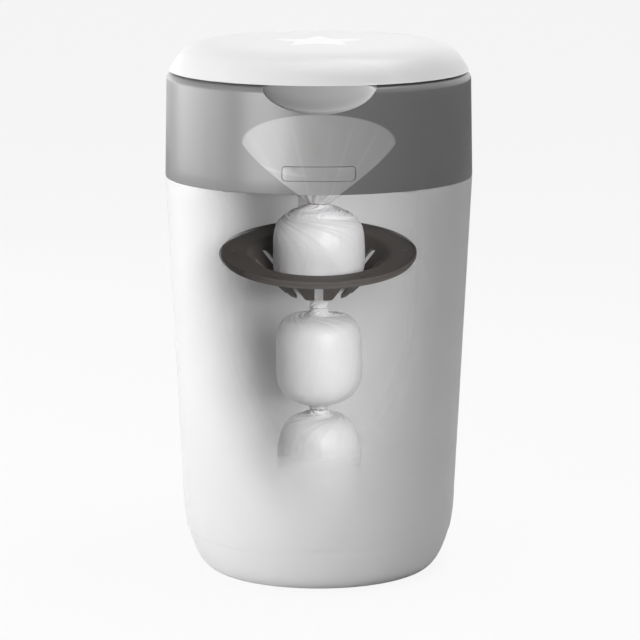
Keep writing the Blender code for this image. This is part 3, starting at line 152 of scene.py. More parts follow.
# Deck, turntable and cassette
DECK = 0.003
CUP_RADIUS = 0.086
CUP_WALL = 0.002
CUP_DEPTH = 0.0493
CUP_FLANGE = 0.0025
CUP_FLANGE_WIDTH = 0.0078
CUP_FLOOR_WIDTH = 0.020
TOOTH_COUNT = 36
TOOTH_HEIGHT = 0.0019
TOOTH_ROOT = 0.0003
TOOTH_BAND = 0.010
TOOTH_DROP = 0.0018
TOOTH_TIP_SHARE = 0.9
GRIP_COUNT = 3
GRIP_HALF = 0.011
GRIP_THICK = 0.006
GRIP_HEIGHT = 0.0075
GRIP_ROUND = 0.002
TRAY_WALL = 0.002
TRAY_INNER_RADIUS = 0.0623
TRAY_OUTER_HEIGHT = 0.0384
TRAY_INNER_HEIGHT = 0.0406
PACK_HEIGHT = 0.0334
PACK_FOLDS = 22
PACK_FOLD_DEPTH = 0.0005
CAP_THICK = 0.002
CAP_SLIT = 0.0027
BEZEL_WALL = 0.002
BEZEL_LAP = 0.003

# Film drawn down through the cassette
FILM = 0.0003
FUNNEL_DEPTH = 0.0462
FUNNEL_NECK = 0.009
FUNNEL_BEND_SHARE = 1.15
FUNNEL_LIP = 0.0029
FUNNEL_ROWS = 40
PLEAT_GROWTH = (0.0, 0.5)
PLEAT_LEAST = 0.4
PLEAT_SPREAD = 1.2
PLEAT_NECK = (0.004, 0.03)
SLACK_SCALE = 26.0
SLACK_DEPTH = 0.002

# Jaw plate and its carrier
PLATE_HEIGHT = 0.2569
PLATE_RADIUS = 0.0785
PLATE_PITCH = math.radians(9)
PLATE_THICK = 0.0018
PLATE_RIM = 0.002
PLATE_RIM_RISE = 0.0015
PLATE_RIM_SLOPE_SHARE = 0.25
JAW_MOUTH = 0.0574
JAW_BEND = 0.0025
JAW_ROUND = JAW_BEND * 2.4
JAW_TIP = 0.0265
JAW_COUNT = 12
SLOT_WIDTH = 0.007
SLOT_REACH = 0.0525
TIP_ROUND = 0.0034
JAW_SCREWS = 6
JAW_SCREW_CIRCLE = 0.069
CARRIER_THICK = 0.003
CARRIER_RING_WIDTH = 0.014
CARRIER_HALF = 0.017
SPINE_THICK = 0.005
SPINE_CLEARANCE = 0.0016
SPINE_TAIL = 0.0102
FOOT_CLEARANCE = 0.0027
FOOT_SCREW_HALF = 0.010

# Lid, liner, seal and star
LID_RISE = 0.0224
LID_FLAT_SHARE = 13.5
LID_EDGE_SHARE = 1.235
LINER_WALL = 0.002
LINER_GAP = 0.0014
LINER_INSET = 0.0036
PLUG_GAP = 0.0025
PLUG_DEPTH = 0.0087
PLUG_CHAMFER = 0.002
SEAL_THICK = 0.0011
SEAL_WIDTH = 0.005
SEAL_INSET = 0.0015
BOSS_RADIUS = 0.004
BOSS_CIRCLE = 0.080
BOSS_COUNT = 4
BOSS_HOLE = 0.011
STAR_RADIUS = 0.037
STAR_WAIST_SHARE = 0.52
STAR_POINTS = 5
STAR_THICK = 0.0008
STAR_TIP = 0.0045
STAR_TIP_STEPS = 5
STAR_EDGE = 0.0002

# Fasteners
DECK_SCREWS = 6
CARRIER_SCREWS = 2
SCREW_HEAD = 0.0028
SCREW_HEAD_TALL = 0.0015
SCREW_SHANK = 0.0014
SMALL_HEAD = 0.0017
SMALL_HEAD_TALL = 0.0008
SMALL_SHANK = 0.0010
RECESS_DEPTH_SHARE = 0.55
RECESS_REACH_SHARE = 0.6
RECESS_WIDTH_SHARE = 0.2

# Soft oval at the tub's front that is seen through, with clear spots over the plate and the lowest
# bundle, and the strip above it. Edges are where a mask begins and ends, as shares or in metres.
WINDOW_HALF = 0.1003
WINDOW_HEIGHT = 0.245
WINDOW_DROP = 0.178
WINDOW_EDGE = (0.45, 1.15)
SIGHT_SLOPE = 0.172
PLATE_SPOT_HALF = 0.0783
PLATE_SPOT_HEIGHT = 0.2762
PLATE_SPOT_RISE = 0.0221
PLATE_SPOT_DROP = 0.0298
BUNDLE_SPOT_HALF = 0.0337
BUNDLE_SPOT_HEIGHT = 0.1015
BUNDLE_SPOT_TALL = 0.049
BUNDLE_SPOT_BEND = 3.5
BUNDLE_FADE = (0.092, 0.124)
WINDOW_FROST = 0.1
WINDOW_SIDE = (-0.02, -0.04)
INNER_FACE = (WALL * 0.3, WALL * 0.7)
INNER_FADE = 0.04
PLATE_SPOT_EDGE = (1.0, 0.97)
BUNDLE_SPOT_EDGE = (1.04, 0.84)
FADE_FROST = 0.008
STRIP_TOP = 0.3190
STRIP_FADE = 0.001
STRIP_SIDE = (0.045, 0.03)

# Colours of the finishes that have no setting
STAR_COLOUR = (0.95, 0.95, 0.95)
FOLDED_COLOUR = (0.78, 0.79, 0.80)
DRAWN_COLOUR = (0.80, 0.79, 0.80)
STEEL_COLOUR = (0.55, 0.55, 0.56)
RUBBER_COLOUR = (0.05, 0.05, 0.052)
DUST_COLOUR = (0.35, 0.34, 0.33, 1.0)

# Faint funnel painted on the front of the collar, with painted highlights on its pleats and lip, and the
# painted light and shade of the scoop above it: a lighter grey than the collar, darker on the left and
# lighter on the right
GHOST_HALF = 0.0589
GHOST_HEIGHT = 0.3592
GHOST_RISE = 0.0235
GHOST_DROP = 0.0489
GHOST_BEND = 1.25
GHOST_VANISH = 0.290
GHOST_COLOUR = (0.56, 0.55, 0.55)
GHOST_SOFT = 0.0008
GHOST_BOWL_EDGE = (1.02, 0.97)
GHOST_SEAM = (GHOST_HEIGHT - 0.0006, GHOST_HEIGHT + 0.0006)
GHOST_SIDE = (-0.05, -0.07)
# Strength of the painted highlight along the funnel's lip
GHOST_LIP_HIGHLIGHT = 0.3
# Painted light in the scoop, and how much darker its left and lighter its right are painted
SCOOP_PAINTED_LIGHT = (0.42, 0.42, 0.42)
SCOOP_PAINTED_SHADE = 0.5
SCOOP_EDGE = (1.0, 0.98)
SCOOP_FACE = (0.0003, 0.0008)
SCOOP_SIDE = (0.0, -0.02)
# Directions, widths and strengths of the painted highlights along the pleats
GHOST_PLEATS = ((-0.62, 0.06, 0.9), (-0.42, 0.025, 0.6), (-0.24, 0.04, 1.1), (0.11, 0.025, 0.6),
                (0.30, 0.03, 1.0), (0.52, 0.035, 0.9), (0.68, 0.05, 0.8))
# Where the painted highlight along the funnel's near lip lies
CRESCENT_HALF = 0.058
CRESCENT_HEIGHT = 0.3605
CRESCENT_DROP = 0.0250
CRESCENT_SHIFT = 0.004
CRESCENT_BAND = (0.07, 0.02)
CRESCENT_FALL = (CRESCENT_HEIGHT - 0.001, CRESCENT_HEIGHT - 0.006)
CRESCENT_SIDE = (0.0, -0.03)

# Wrapped bundles
BUNDLE_ROWS = 220
BUNDLE_COLUMNS = 288
BUNDLE_SMOOTH = 25
LUMP_DEPTH = 0.0006
LUMP_WIDTH = 0.02
FOLD_WIDTH = 0.012
FOLD_LEAST = 0.25
FOLD_MIDDLE = 1.2
SWELL_BACK = 0.8
TIP_WIDTH = 0.006
LEAST_WIDTH = 0.55
CREASE_DEPTH = 0.0001
FOLD_REACH = 0.0125
FOLD_TWIST = 2.4
NECK_REACH = 0.008
NECK_TWIST = 0.9
FINE_FOLDS = ((11, 16, 23), 1.6)
BROAD_FOLDS = ((5, 8, 13), 1.2)
CREASES = ((17, 29), 3.0)
CREASE_TWIST = 6
SWELL_ORDERS = (1, 2, 3, 5)
SWELL_PACES = (40.0, 95.0, 170.0)
SWELL_SIZE = 0.22
# How far inside a bundle's ends its necks are rooted, and the way that their film turns
TOP_NECKS = {"bundle_1": (0.006, 1), "bundle_2": (0.003, 1), "bundle_3": (0.002, -1)}
FOOT_NECKS = {"bundle_1": (0.006, -1), "bundle_2": (0.002, 1)}

# Lamps: where each stands, where it points, and its size across and down
LAMPS = {
    "key": ((-1.25, 0.15, 0.32), (0.0, 0.0, 0.27), (1.5, 0.25)),
    "front": ((-1.25, -1.65, 0.4), (0.0, 0.0, 0.22), (1.3, 0.7)),
    "top": ((0.35, 0.0, 1.9), (0.0, 0.0, 0.42), (1.2, 1.2)),
    "inner": ((0.85, -2.0, 0.9), (0.0, 0.0, 0.2), (1.2, 0.9)),
    "edge": ((-0.9, 1.35, 0.4), (0.0, 0.0, 0.3), (0.9, 0.5)),
}

# Stage, and the pieces that its inner lamp reaches
SKIN_GAP = 0.00008
SHADING_INSIDE = ("wrapped_bundle_1", "wrapped_bundle_2", "wrapped_bundle_3", "jaws", "drawn_film")
LIT_INSIDE = ("tub_inner_face", "jaw_bracket", "jaw_screws", *SHADING_INSIDE)
WHITE = (1.0, 1.0, 1.0, 1.0)
FLOOR_REACH = 12.0
FLOOR_GLOW = 0.9
TRANSPARENT_BOUNCES = 48
FARTHEST_SEEN = 50.0

# Heights and half widths that follow from the sizes above
KNEE_HALF = SEAM_HALF - TUB_TAPER
BASE_HALF = KNEE_HALF - BASE_FILLET
COLLAR_BOTTOM = SEAM_HEIGHT + FIT
COLLAR_TOP = SEAM_HEIGHT + COLLAR_HEIGHT
SHOULDER_HEIGHT = COLLAR_TOP - SHOULDER_DROP
SHOULDER_HALF = SEAM_HALF - COLLAR_DRAFT
TOP_HALF = SHOULDER_HALF - SHOULDER_INSET
RIM_INNER = TOP_HALF - RIM_WIDTH
LIP_OUTER = SEAM_HALF - WALL - PLAY
LIP_INNER = LIP_OUTER - LIP_WALL
BUTTON_HEIGHT = SEAM_HEIGHT + BUTTON_RISE
LEDGE_BOTTOM = BUTTON_HEIGHT + BUTTON_TALL / 2 + LEDGE_CLEARANCE
LEDGE_TOP = LEDGE_BOTTOM + LEDGE
DECK_BOTTOM = LEDGE_TOP + FIT
DECK_TOP = DECK_BOTTOM + DECK
LATCH_Z = SEAM_HEIGHT + LATCH_RISE
HINGE_Z = SEAM_HEIGHT + FIT / 2
LID_HINGE_Z = COLLAR_TOP - KNUCKLE_RADIUS - PLAY
CUP_FLANGE_BOTTOM = DECK_TOP + FIT
CUP_TOP = CUP_FLANGE_BOTTOM + CUP_FLANGE
CUP_BOTTOM = CUP_FLANGE_BOTTOM - CUP_DEPTH
CUP_INNER = CUP_RADIUS - CUP_WALL
TOOTH_TIP = CUP_RADIUS + TOOTH_HEIGHT
DECK_HOLE = TOOTH_TIP + PLAY
TRAY_BOTTOM = CUP_BOTTOM + CUP_WALL + FIT
TRAY_OUTER = CUP_INNER - FIT
FUNNEL_MOUTH = TRAY_INNER_RADIUS - PLAY
FUNNEL_TOP = TRAY_BOTTOM + TRAY_INNER_HEIGHT + FIT
JAW_DROP = JAW_MOUTH - JAW_TIP
SPINE_FRONT = TOOTH_TIP + SPINE_CLEARANCE
SPINE_BACK = SPINE_FRONT + SPINE_THICK
CARRIER_TOP = -PLATE_THICK - FIT
CARRIER_BOTTOM = CARRIER_TOP - CARRIER_THICK
CARRIER_OUTER = PLATE_RADIUS - PLATE_RIM
CARRIER_CHANGE = (CARRIER_OUTER + 0.003, CARRIER_OUTER + 0.006)
LID_BOTTOM = COLLAR_TOP + FIT
LID_TOP = LID_BOTTOM + LID_RISE
LINER_BOTTOM = LID_BOTTOM + LINER_GAP
LINER_OUTER = TOP_HALF - WALL - LINER_INSET
PLUG_HALF = RIM_INNER - PLUG_GAP
PLUG_FLOOR = LINER_BOTTOM - PLUG_DEPTH
BOSS_FOOT = PLUG_FLOOR + LINER_WALL + FIT


# Options that settings of one kind share
COLOUR = {"size": 3, "min": 0.0, "max": 1.0, "subtype": "COLOR"}
FACTOR = {"max": 1.0, "subtype": "FACTOR"}
FOLD_LENGTH = {"min": 0.0, "max": 0.006, "subtype": "DISTANCE", "unit": "LENGTH"}
POWER = {"min": 0.0, "unit": "POWER"}


class ShellSettings(bpy.types.PropertyGroup):
    """Moulded shells of the tub, collar and lid."""

    turn_steps: bpy.props.IntProperty(
        name="Turn steps", description="How many steps a turned shell has round its plan",
        default=160, min=48, max=288)
    depth_share: bpy.props.FloatProperty(
        name="Depth share", description="Depth of the oval plan as a share of its width",
        default=0.96, min=0.8, **FACTOR)
    tub_colour: bpy.props.FloatVectorProperty(
        name="Tub colour", description="White plastic of the tub", default=(0.73, 0.73, 0.73), **COLOUR)
    lid_colour: bpy.props.FloatVectorProperty(
        name="Lid colour", description="White plastic of the lid", default=(0.80, 0.80, 0.80), **COLOUR)
    collar_colour: bpy.props.FloatVectorProperty(
        name="Collar colour", description="Grey plastic of the collar and button",
        default=(0.16, 0.16, 0.16), **COLOUR)
    window: bpy.props.FloatProperty(
        name="Window", description="How far the front of the tub is seen through",
        default=1.0, min=0.0, **FACTOR)
    ghost: bpy.props.FloatProperty(
        name="Ghost", description="How strongly the film shows through the front of the collar",
        default=0.55, min=0.0, **FACTOR)


class InsideSettings(bpy.types.PropertyGroup):
    """Turntable, cassette and jaws."""

    plain_colour: bpy.props.FloatVectorProperty(
        name="Inner plastic", description="Matt white plastic inside", default=(0.72, 0.72, 0.72), **COLOUR)
    jaw_colour: bpy.props.FloatVectorProperty(
        name="Jaw colour", description="Warm dark plastic of the jaws",
        default=(0.100, 0.090, 0.083), **COLOUR)
    cassette_colour: bpy.props.FloatVectorProperty(
        name="Cassette colour", description="Pale grey plastic of the cassette",
        default=(0.62, 0.63, 0.64), **COLOUR)
    plate_steps: bpy.props.IntProperty(
        name="Plate steps", description="How many steps the jaw plate has round its rim",
        default=216, min=72, max=288)


class FilmSettings(bpy.types.PropertyGroup):
    """Film and the bundles that it wraps."""

    colour: bpy.props.FloatVectorProperty(
        name="Film colour", description="White film over the bundles", default=(0.86, 0.85, 0.86), **COLOUR)
    pleats: bpy.props.IntProperty(
        name="Pleats", description="Pleats round the film where it is drawn in", default=17, min=5, max=60)
    pleat_depth: bpy.props.FloatProperty(
        name="Pleat depth", description="Depth of a pleat where the film is slack", default=0.0022,
        **FOLD_LENGTH)
    twist: bpy.props.FloatProperty(
        name="Twist", description="How far the film turns on its way to a neck", default=1.5,
        min=0.0, max=6.0, subtype="ANGLE", unit="ROTATION")
    fold_depth: bpy.props.FloatProperty(
        name="Fold depth", description="Depth of the folds that run in to a neck", default=0.0025,
        **FOLD_LENGTH)
    seed: bpy.props.IntProperty(
        name="Seed", description="Chooses one set of folds", default=11, min=0)


class StageSettings(bpy.types.PropertyGroup):
    """Floor, backdrop and lamps."""

    floor_colour: bpy.props.FloatVectorProperty(
        name="Floor colour", description="Pale floor", default=(0.78, 0.78, 0.78), **COLOUR)
    key_power: bpy.props.FloatProperty(
        name="Key lamp", description="Soft lamp on the left", default=5.0, **POWER)
    front_power: bpy.props.FloatProperty(
        name="Front lamp", description="Soft lamp in front", default=20.5, **POWER)
    edge_power: bpy.props.FloatProperty(
        name="Edge lamp", description="Soft lamp behind, on the left", default=1.2, **POWER)
    top_power: bpy.props.FloatProperty(
        name="Top lamp", description="Soft lamp above the lid", default=12.5, **POWER)
    inner_power: bpy.props.FloatProperty(
        name="Inner lamp", description="Soft lamp that reaches only what the cutaway shows",
        default=38.0, **POWER)
    room_level: bpy.props.FloatProperty(
        name="Room level", description="Even light from all round", default=0.09, min=0.0, max=2.0)


def shells():
    return bpy.context.scene.bin_shells


def inside():
    return bpy.context.scene.bin_inside


def film():
    return bpy.context.scene.bin_film


def stage_settings():
    return bpy.context.scene.bin_stage


# Node trees, for shaders and for geometry


class Field:
    """Socket of a node tree. Arithmetic on it adds Math nodes, and node() adds any other node."""

    def __init__(self, tree, socket=None):
        self.tree, self.socket = tree, socket

    def node(self, kind, settings=None, inputs=None, output=0):
        """Any node, with its settings made before its sockets are filled; returns one of its outputs."""
        made = self.tree.nodes.new(kind)
        for name, value in (settings or {}).items():
            setattr(made, name, value)
        for name, value in (inputs or {}).items():
            if isinstance(value, Field):
                self.tree.links.new(value.socket, made.inputs[name])
            else:
                made.inputs[name].default_value = value
        return Field(self.tree, made.outputs[output])

    def maths(self, operation, *others):
        """A Math node on this field and any others."""
        return self.node("ShaderNodeMath", {"operation": operation}, dict(enumerate((self, *others))))

    def __add__(self, other):
        return self.maths("ADD", other)

    def __sub__(self, other):
        return self.maths("SUBTRACT", other)

    def __mul__(self, other):
        return self.maths("MULTIPLY", other)

    def __truediv__(self, other):
        return self.maths("DIVIDE", other)

    def __pow__(self, other):
        return self.maths("POWER", other)

    def __rsub__(self, other):
        return self * -1 + other

    def __rtruediv__(self, other):
        return self ** -1 * other

    __radd__ = __add__
    __rmul__ = __mul__

    def between(self, low, high):
        """0 below low, 1 above high, and smooth between; low may be the larger."""
        steps = {"interpolation_type": "SMOOTHSTEP"}
        if low < high:
            return self.node("ShaderNodeMapRange", steps, {"Value": self, "From Min": low, "From Max": high})
        return 1 - self.node("ShaderNodeMapRange", steps, {"Value": self, "From Min": high, "From Max": low})

    def point(self, x=0.0, y=0.0, z=0.0):
        """A vector made of three parts."""
        return self.node("ShaderNodeCombineXYZ", inputs={0: x, 1: y, 2: z})

    def split(self):
        """The three parts of a vector."""
        apart = self.node("ShaderNodeSeparateXYZ", inputs={0: self}).socket.node
        return [Field(self.tree, socket) for socket in apart.outputs]

    def blend(self, first, second):
        """Colour between two colours, by this share."""
        return self.node("ShaderNodeMix", {"data_type": "RGBA"}, {0: self, 6: first, 7: second}, 2)

    def shade(self, colour):
        """A colour made lighter or darker by this factor."""
        return self.node("ShaderNodeVectorMath", {"operation": "SCALE"}, {0: colour, "Scale": self})


def new_rule(name, **sizes):
    """Geometry tree with a shape, named sizes and a finish going in, and a shape coming out."""
    tree = bpy.data.node_groups.new(name, "GeometryNodeTree")
    for title, kind in {"Shape": "Geometry", **sizes, "Finish": "Material"}.items():
        tree.interface.new_socket(title.replace("_", " "), in_out="INPUT", socket_type=f"NodeSocket{kind}")
    tree.interface.new_socket("Shape", in_out="OUTPUT", socket_type="NodeSocketGeometry")
    given = tree.nodes.new("NodeGroupInput")
    start = Field(tree)
    return start, {socket.name: Field(tree, socket) for socket in given.outputs if socket.name}


def end_rule(shape, given):
    """Close a rule with Realize Instances and Set Material."""
    real = shape.node("GeometryNodeRealizeInstances", inputs={0: shape})
    dressed = shape.node("GeometryNodeSetMaterial", inputs={"Geometry": real, "Material": given["Finish"]})
    out = shape.tree.nodes.new("NodeGroupOutput")
    shape.tree.links.new(dressed.socket, out.inputs[0])
    return shape.tree


def turned_rule():
    """Turns the outline that it is given about the upright axis, squashed in depth."""
    start, given = new_rule("Turned shell", Turn_steps="Int", Depth_share="Float")
    outline = given["Shape"]
    count = start.node("GeometryNodeAttributeDomainSize", inputs={0: outline}, output="Point Count")
    steps = given["Turn steps"]
    grid = start.node("GeometryNodeMeshGrid", inputs={"Vertices X": steps + 1, "Vertices Y": count})
    index = start.node("GeometryNodeInputIndex")
    column = (index / count).maths("FLOOR")
    row = index - column * count
    place = start.node("GeometryNodeInputPosition")
    spot = start.node("GeometryNodeSampleIndex", {"data_type": "FLOAT_VECTOR"},
                      {"Geometry": outline, "Value": place, "Index": row})
    radius, _, height = spot.split()
    angle = column * (math.tau / steps)
    x = radius * angle.maths("COSINE")
    y = radius * angle.maths("SINE") * given["Depth share"]
    where = start.point(x, y, height)
    bent = start.node("GeometryNodeSetPosition", inputs={"Geometry": grid, "Position": where})
    welded = start.node("GeometryNodeMergeByDistance", inputs={"Geometry": bent, "Distance": MERGE})
    return end_rule(welded, given)


def ring_rule():
    """Copies the shape that it is given round an oval, each turned to face outwards."""
    start, given = new_rule("Ring of copies", Count="Int", Circle="Float", Start_angle="Float",
                            Height="Float", Depth_share="Float")
    points = start.node("GeometryNodeMeshCircle", inputs={"Vertices": given["Count"]})
    index = start.node("GeometryNodeInputIndex")
    angle = index * (math.tau / given["Count"]) + given["Start angle"]
    x = given["Circle"] * angle.maths("COSINE")
    y = given["Circle"] * angle.maths("SINE") * given["Depth share"]
    where = start.point(x, y, given["Height"])
    placed = start.node("GeometryNodeSetPosition", inputs={"Geometry": points, "Position": where})
    facing = start.point(z=angle)
    copies = start.node("GeometryNodeInstanceOnPoints", inputs={
        "Points": placed, "Instance": given["Shape"], "Rotation": facing})
    return end_rule(copies, given)


def pleat_rule():
    """Pleats a turned film: folds that deepen and turn as it is drawn in."""
    start, given = new_rule("Pleated film", Pleats="Int", Pleat_depth="Float", Twist="Float",
                            Mouth="Float", Seed="Int")
    place = start.node("GeometryNodeInputPosition")
    x, y, z = place.split()
    angle = y.maths("ARCTAN2", x)
    radius = (x * x + y * y) ** 0.5
    drawn = 1 - radius / given["Mouth"]
    fold = ((angle + drawn * given["Twist"]) * given["Pleats"]).maths("SINE")
    loose = start.node("ShaderNodeTexNoise", {"noise_dimensions": "4D"},
                       {"Vector": place, "W": given["Seed"], "Scale": SLACK_SCALE, "Detail": 2.0})
    deep = (given["Pleat depth"] * drawn.between(*PLEAT_GROWTH) * (PLEAT_LEAST + loose * PLEAT_SPREAD)
            * radius.between(*PLEAT_NECK))
    push = 1 + (deep * fold + (loose - 0.5) * SLACK_DEPTH) / radius
    where = start.point(x * push, y * push, z)
    pleated = start.node("GeometryNodeSetPosition", inputs={"Geometry": given["Shape"], "Position": where})
    return end_rule(pleated, given)


RULES = {"Turned shell": turned_rule, "Ring of copies": ring_rule, "Pleated film": pleat_rule}


def follow(thing, rule, **sizes):
    """Put a rule on an object, with its inputs set before it is first evaluated."""
    tree = bpy.data.node_groups.get(rule) or RULES[rule]()
    sockets = {item.name: item.identifier for item in tree.interface.items_tree if item.in_out == "INPUT"}
    step = thing.modifiers.new(rule, "NODES")
    step.node_group = tree
    for name, value in sizes.items():
        step[sockets[name.replace("_", " ")]] = value
    return thing


# Mesh helpers


def loose_object(name, mesh):
    thing = bpy.data.objects.new(name, mesh)
    bpy.context.scene.collection.objects.link(thing)
    return thing


def settled(thing, outwards=True):
    """Plain mesh of an object as its modifiers leave it; the object is removed."""
    bpy.context.view_layer.update()
    graph = bpy.context.evaluated_depsgraph_get()
    mesh = bpy.data.meshes.new_from_object(thing.evaluated_get(graph))
    mesh.transform(thing.matrix_world)
    data = thing.data
    bpy.data.objects.remove(thing)
    if isinstance(data, bpy.types.Curve):
        bpy.data.curves.remove(data)
    elif data.users == 0:
        bpy.data.meshes.remove(data)
    if outwards:
        face_out(mesh)
    return mesh


def face_out(mesh):
    """Weld a closed mesh and point its faces outwards."""
    shape = bmesh.new()
    shape.from_mesh(mesh)
    bmesh.ops.remove_doubles(shape, verts=shape.verts, dist=MERGE)
    bmesh.ops.recalc_face_normals(shape, faces=shape.faces)
    shape.to_mesh(mesh)
    shape.free()


def turned(outline, steps=None, squash=1.0, ease=EASE):
    """Turn an outline of (radius, height) points into a solid, through the turned shell rule."""
    on_axis = outline[0][0] == 0.0 and outline[-1][0] == 0.0
    points = divided(eased(outline, ease, not on_axis), not on_axis)
    if not on_axis:
        points.append(points[0])
    profile = bpy.data.meshes.new("outline")
    profile.from_pydata([(radius, 0.0, height) for radius, height in points],
                        [(index, index + 1) for index in range(len(points) - 1)], [])
    thing = loose_object("outline", profile)
    follow(thing, "Turned shell", Turn_steps=steps or shells().turn_steps, Depth_share=squash)
    return settled(thing)


def shell(outline, ease=EASE):
    """Turned solid that follows the bin's oval plan."""
    return turned(outline, squash=depth(), ease=ease)


def eased(points, reach, closed):
    """Round each sharp corner of an outline."""
    if reach == 0.0:
        return list(points)
    made = []
    count = len(points)
    for index, point in enumerate(points):
        if not closed and index in (0, count - 1):
            made.append(point)
            continue
        here, before, after = (Vector(points[i % count]) for i in (index, index - 1, index + 1))
        back, ahead = before - here, after - here
        if back.length < MERGE or ahead.length < MERGE or math.pi - back.angle(ahead) < SHARP_ANGLE:
            made.append(point)
            continue
        cut = min(reach, back.length * EASE_SHARE, ahead.length * EASE_SHARE)
        first, last = here + back.normalized() * cut, here + ahead.normalized() * cut
        for step in range(EASE_STEPS + 1):
            share = step / EASE_STEPS
            spot = first * (1 - share) ** 2 + here * 2 * share * (1 - share) + last * share ** 2
            made.append(tuple(spot))
    return made


def divided(points, closed):
    """Split the long sides of an outline."""
    made = []
    pairs = list(zip(points, points[1:] + points[:1])) if closed else list(zip(points, points[1:]))
    for start, end in pairs:
        length = math.dist(start, end)
        parts = max(1, math.ceil(length / LONGEST_STEP))
        for part in range(parts):
            share = part / parts
            made.append((start[0] + (end[0] - start[0]) * share, start[1] + (end[1] - start[1]) * share))
    if not closed:
        made.append(points[-1])
    return made


def arc(centre, reach, start, end, steps):
    """Points along an elliptical arc in an outline."""
    angles = [start + (end - start) * index / steps for index in range(steps + 1)]
    return [(centre[0] + reach[0] * math.cos(a), centre[1] + reach[1] * math.sin(a)) for a in angles]


def flat(outlines, low, high):
    """Flat plate with one or more closed outlines, between two heights."""
    curve = bpy.data.curves.new("outline", "CURVE")
    curve.dimensions = "2D"
    curve.fill_mode = "BOTH"
    curve.extrude = (high - low) / 2
    for outline in outlines:
        spline = curve.splines.new("POLY")
        spline.points.add(len(outline) - 1)
        for point, place in zip(spline.points, outline):
            point.co = (place[0], place[1], 0.0, 1.0)
        spline.use_cyclic_u = True
    thing = loose_object("outline", curve)
    thing.location = (0.0, 0.0, (low + high) / 2)
    return settled(thing)


def block(low, high):
    """Box between two opposite corners."""
    low, high = Vector(low), Vector(high)
    shape = bmesh.new()
    place = Matrix.Translation((low + high) / 2) @ Matrix.Diagonal((*(high - low), 1.0))
    bmesh.ops.create_cube(shape, size=1.0, matrix=place)
    return meshed(shape)


def rod(radius, start, end):
    """Round rod between two points."""
    start, end = Vector(start), Vector(end)
    turn = (end - start).to_track_quat("Z", "Y").to_matrix().to_4x4()
    shape = bmesh.new()
    bmesh.ops.create_cone(shape, cap_ends=True, segments=ROD_SIDES, radius1=radius, radius2=radius,
                          depth=(end - start).length, matrix=Matrix.Translation((start + end) / 2) @ turn)
    return meshed(shape)


def rod_across(radius, reach, y, z):
    """Round rod along X, centred on the middle."""
    return rod(radius, (-reach, y, z), (reach, y, z))


def meshed(shape):
    """Turn a bmesh into a mesh."""
    mesh = bpy.data.meshes.new("shape")
    shape.to_mesh(mesh)
    shape.free()
    return mesh


def moved(mesh, place):
    mesh.transform(place)
    return mesh


def ring(mesh, count, circle, start=0.0, height=0.0, squash=1.0):
    """Copies of a mesh round an oval, through the ring rule."""
    thing = loose_object("copy", mesh)
    follow(thing, "Ring of copies", Count=count, Circle=circle, Start_angle=start, Height=height,
           Depth_share=squash)
    return settled(thing, outwards=False)


def combined(mesh, tools, operation):
    """Solid of a mesh after Booleans with some others."""
    body = loose_object("body", mesh)
    spent = []
    for tool in tools:
        other = loose_object("tool", tool)
        other.hide_render = True
        step = body.modifiers.new("with", "BOOLEAN")
        step.operation = operation
        step.solver = "EXACT"
        step.object = other
        spent.append(other)
    made = settled(body, outwards=False)
    for other in spent:
        data = other.data
        bpy.data.objects.remove(other)
        bpy.data.meshes.remove(data)
    return made


def joined(meshes):
    """One mesh out of several."""
    shape = bmesh.new()
    for mesh in meshes:
        shape.from_mesh(mesh)
    return meshed(shape)


def piece(name, mesh, look, body, nodes, angle=SHARP_ANGLE):
    """Finished piece that rides on a body and stands for its solids."""
    mesh.name = name
    mesh.materials.clear()
    mesh.materials.append(look)
    for polygon in mesh.polygons:
        polygon.material_index = 0
    mesh.shade_smooth()
    mesh.set_sharp_from_angle(angle=angle)
    thing = loose_object(name, mesh)
    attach(thing, body)
    if nodes:
        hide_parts(*nodes)
    return thing


def plate_place():
    """Where the pitched jaw plate's own frame stands."""
    return Matrix.Translation((0.0, 0.0, PLATE_HEIGHT)) @ Matrix.Rotation(PLATE_PITCH, 4, "X")


def depth():
    return shells().depth_share


def hinge_y():
    return SEAM_HALF * depth() + KNUCKLE_RADIUS + PLAY


def lid_hinge_y():
    return SHOULDER_HALF * depth() + KNUCKLE_RADIUS + PLAY


def latch_y():
    return LATCH_INSET - (SEAM_HALF - WALL) * depth()


def plan_depth(x, half):
    """Distance from the middle to the front or back of the oval plan, at x."""
    return depth() * math.sqrt(half * half - x * x)


def front_root():
    """Middle of the front wall's thickness, where brackets are rooted."""
    return WALL / 2 - SEAM_HALF * depth()


def side_spans():
    """Where the two outer barrels of a hinge lie along X."""
    inner = KNUCKLE_MIDDLE / 2 + FIT
    return [(-inner - KNUCKLE_SIDE, -inner), (inner, inner + KNUCKLE_SIDE)]


def barrels(spans, y, z):
    return [rod(KNUCKLE_RADIUS, (start, y, z), (end, y, z)) for start, end in spans]


def pin_bore(y, z):
    return rod_across(HINGE_PIN_RADIUS + FIT, side_spans()[1][1] + OVERRUN, y, z)


def tub_half(height):
    return SEAM_HALF - TUB_TAPER * (SEAM_HEIGHT - height) / (SEAM_HEIGHT - KNEE_HEIGHT)


def collar_half(height):
    return SEAM_HALF - COLLAR_DRAFT * (height - SEAM_HEIGHT) / (SHOULDER_HEIGHT - SEAM_HEIGHT)


# Finishes


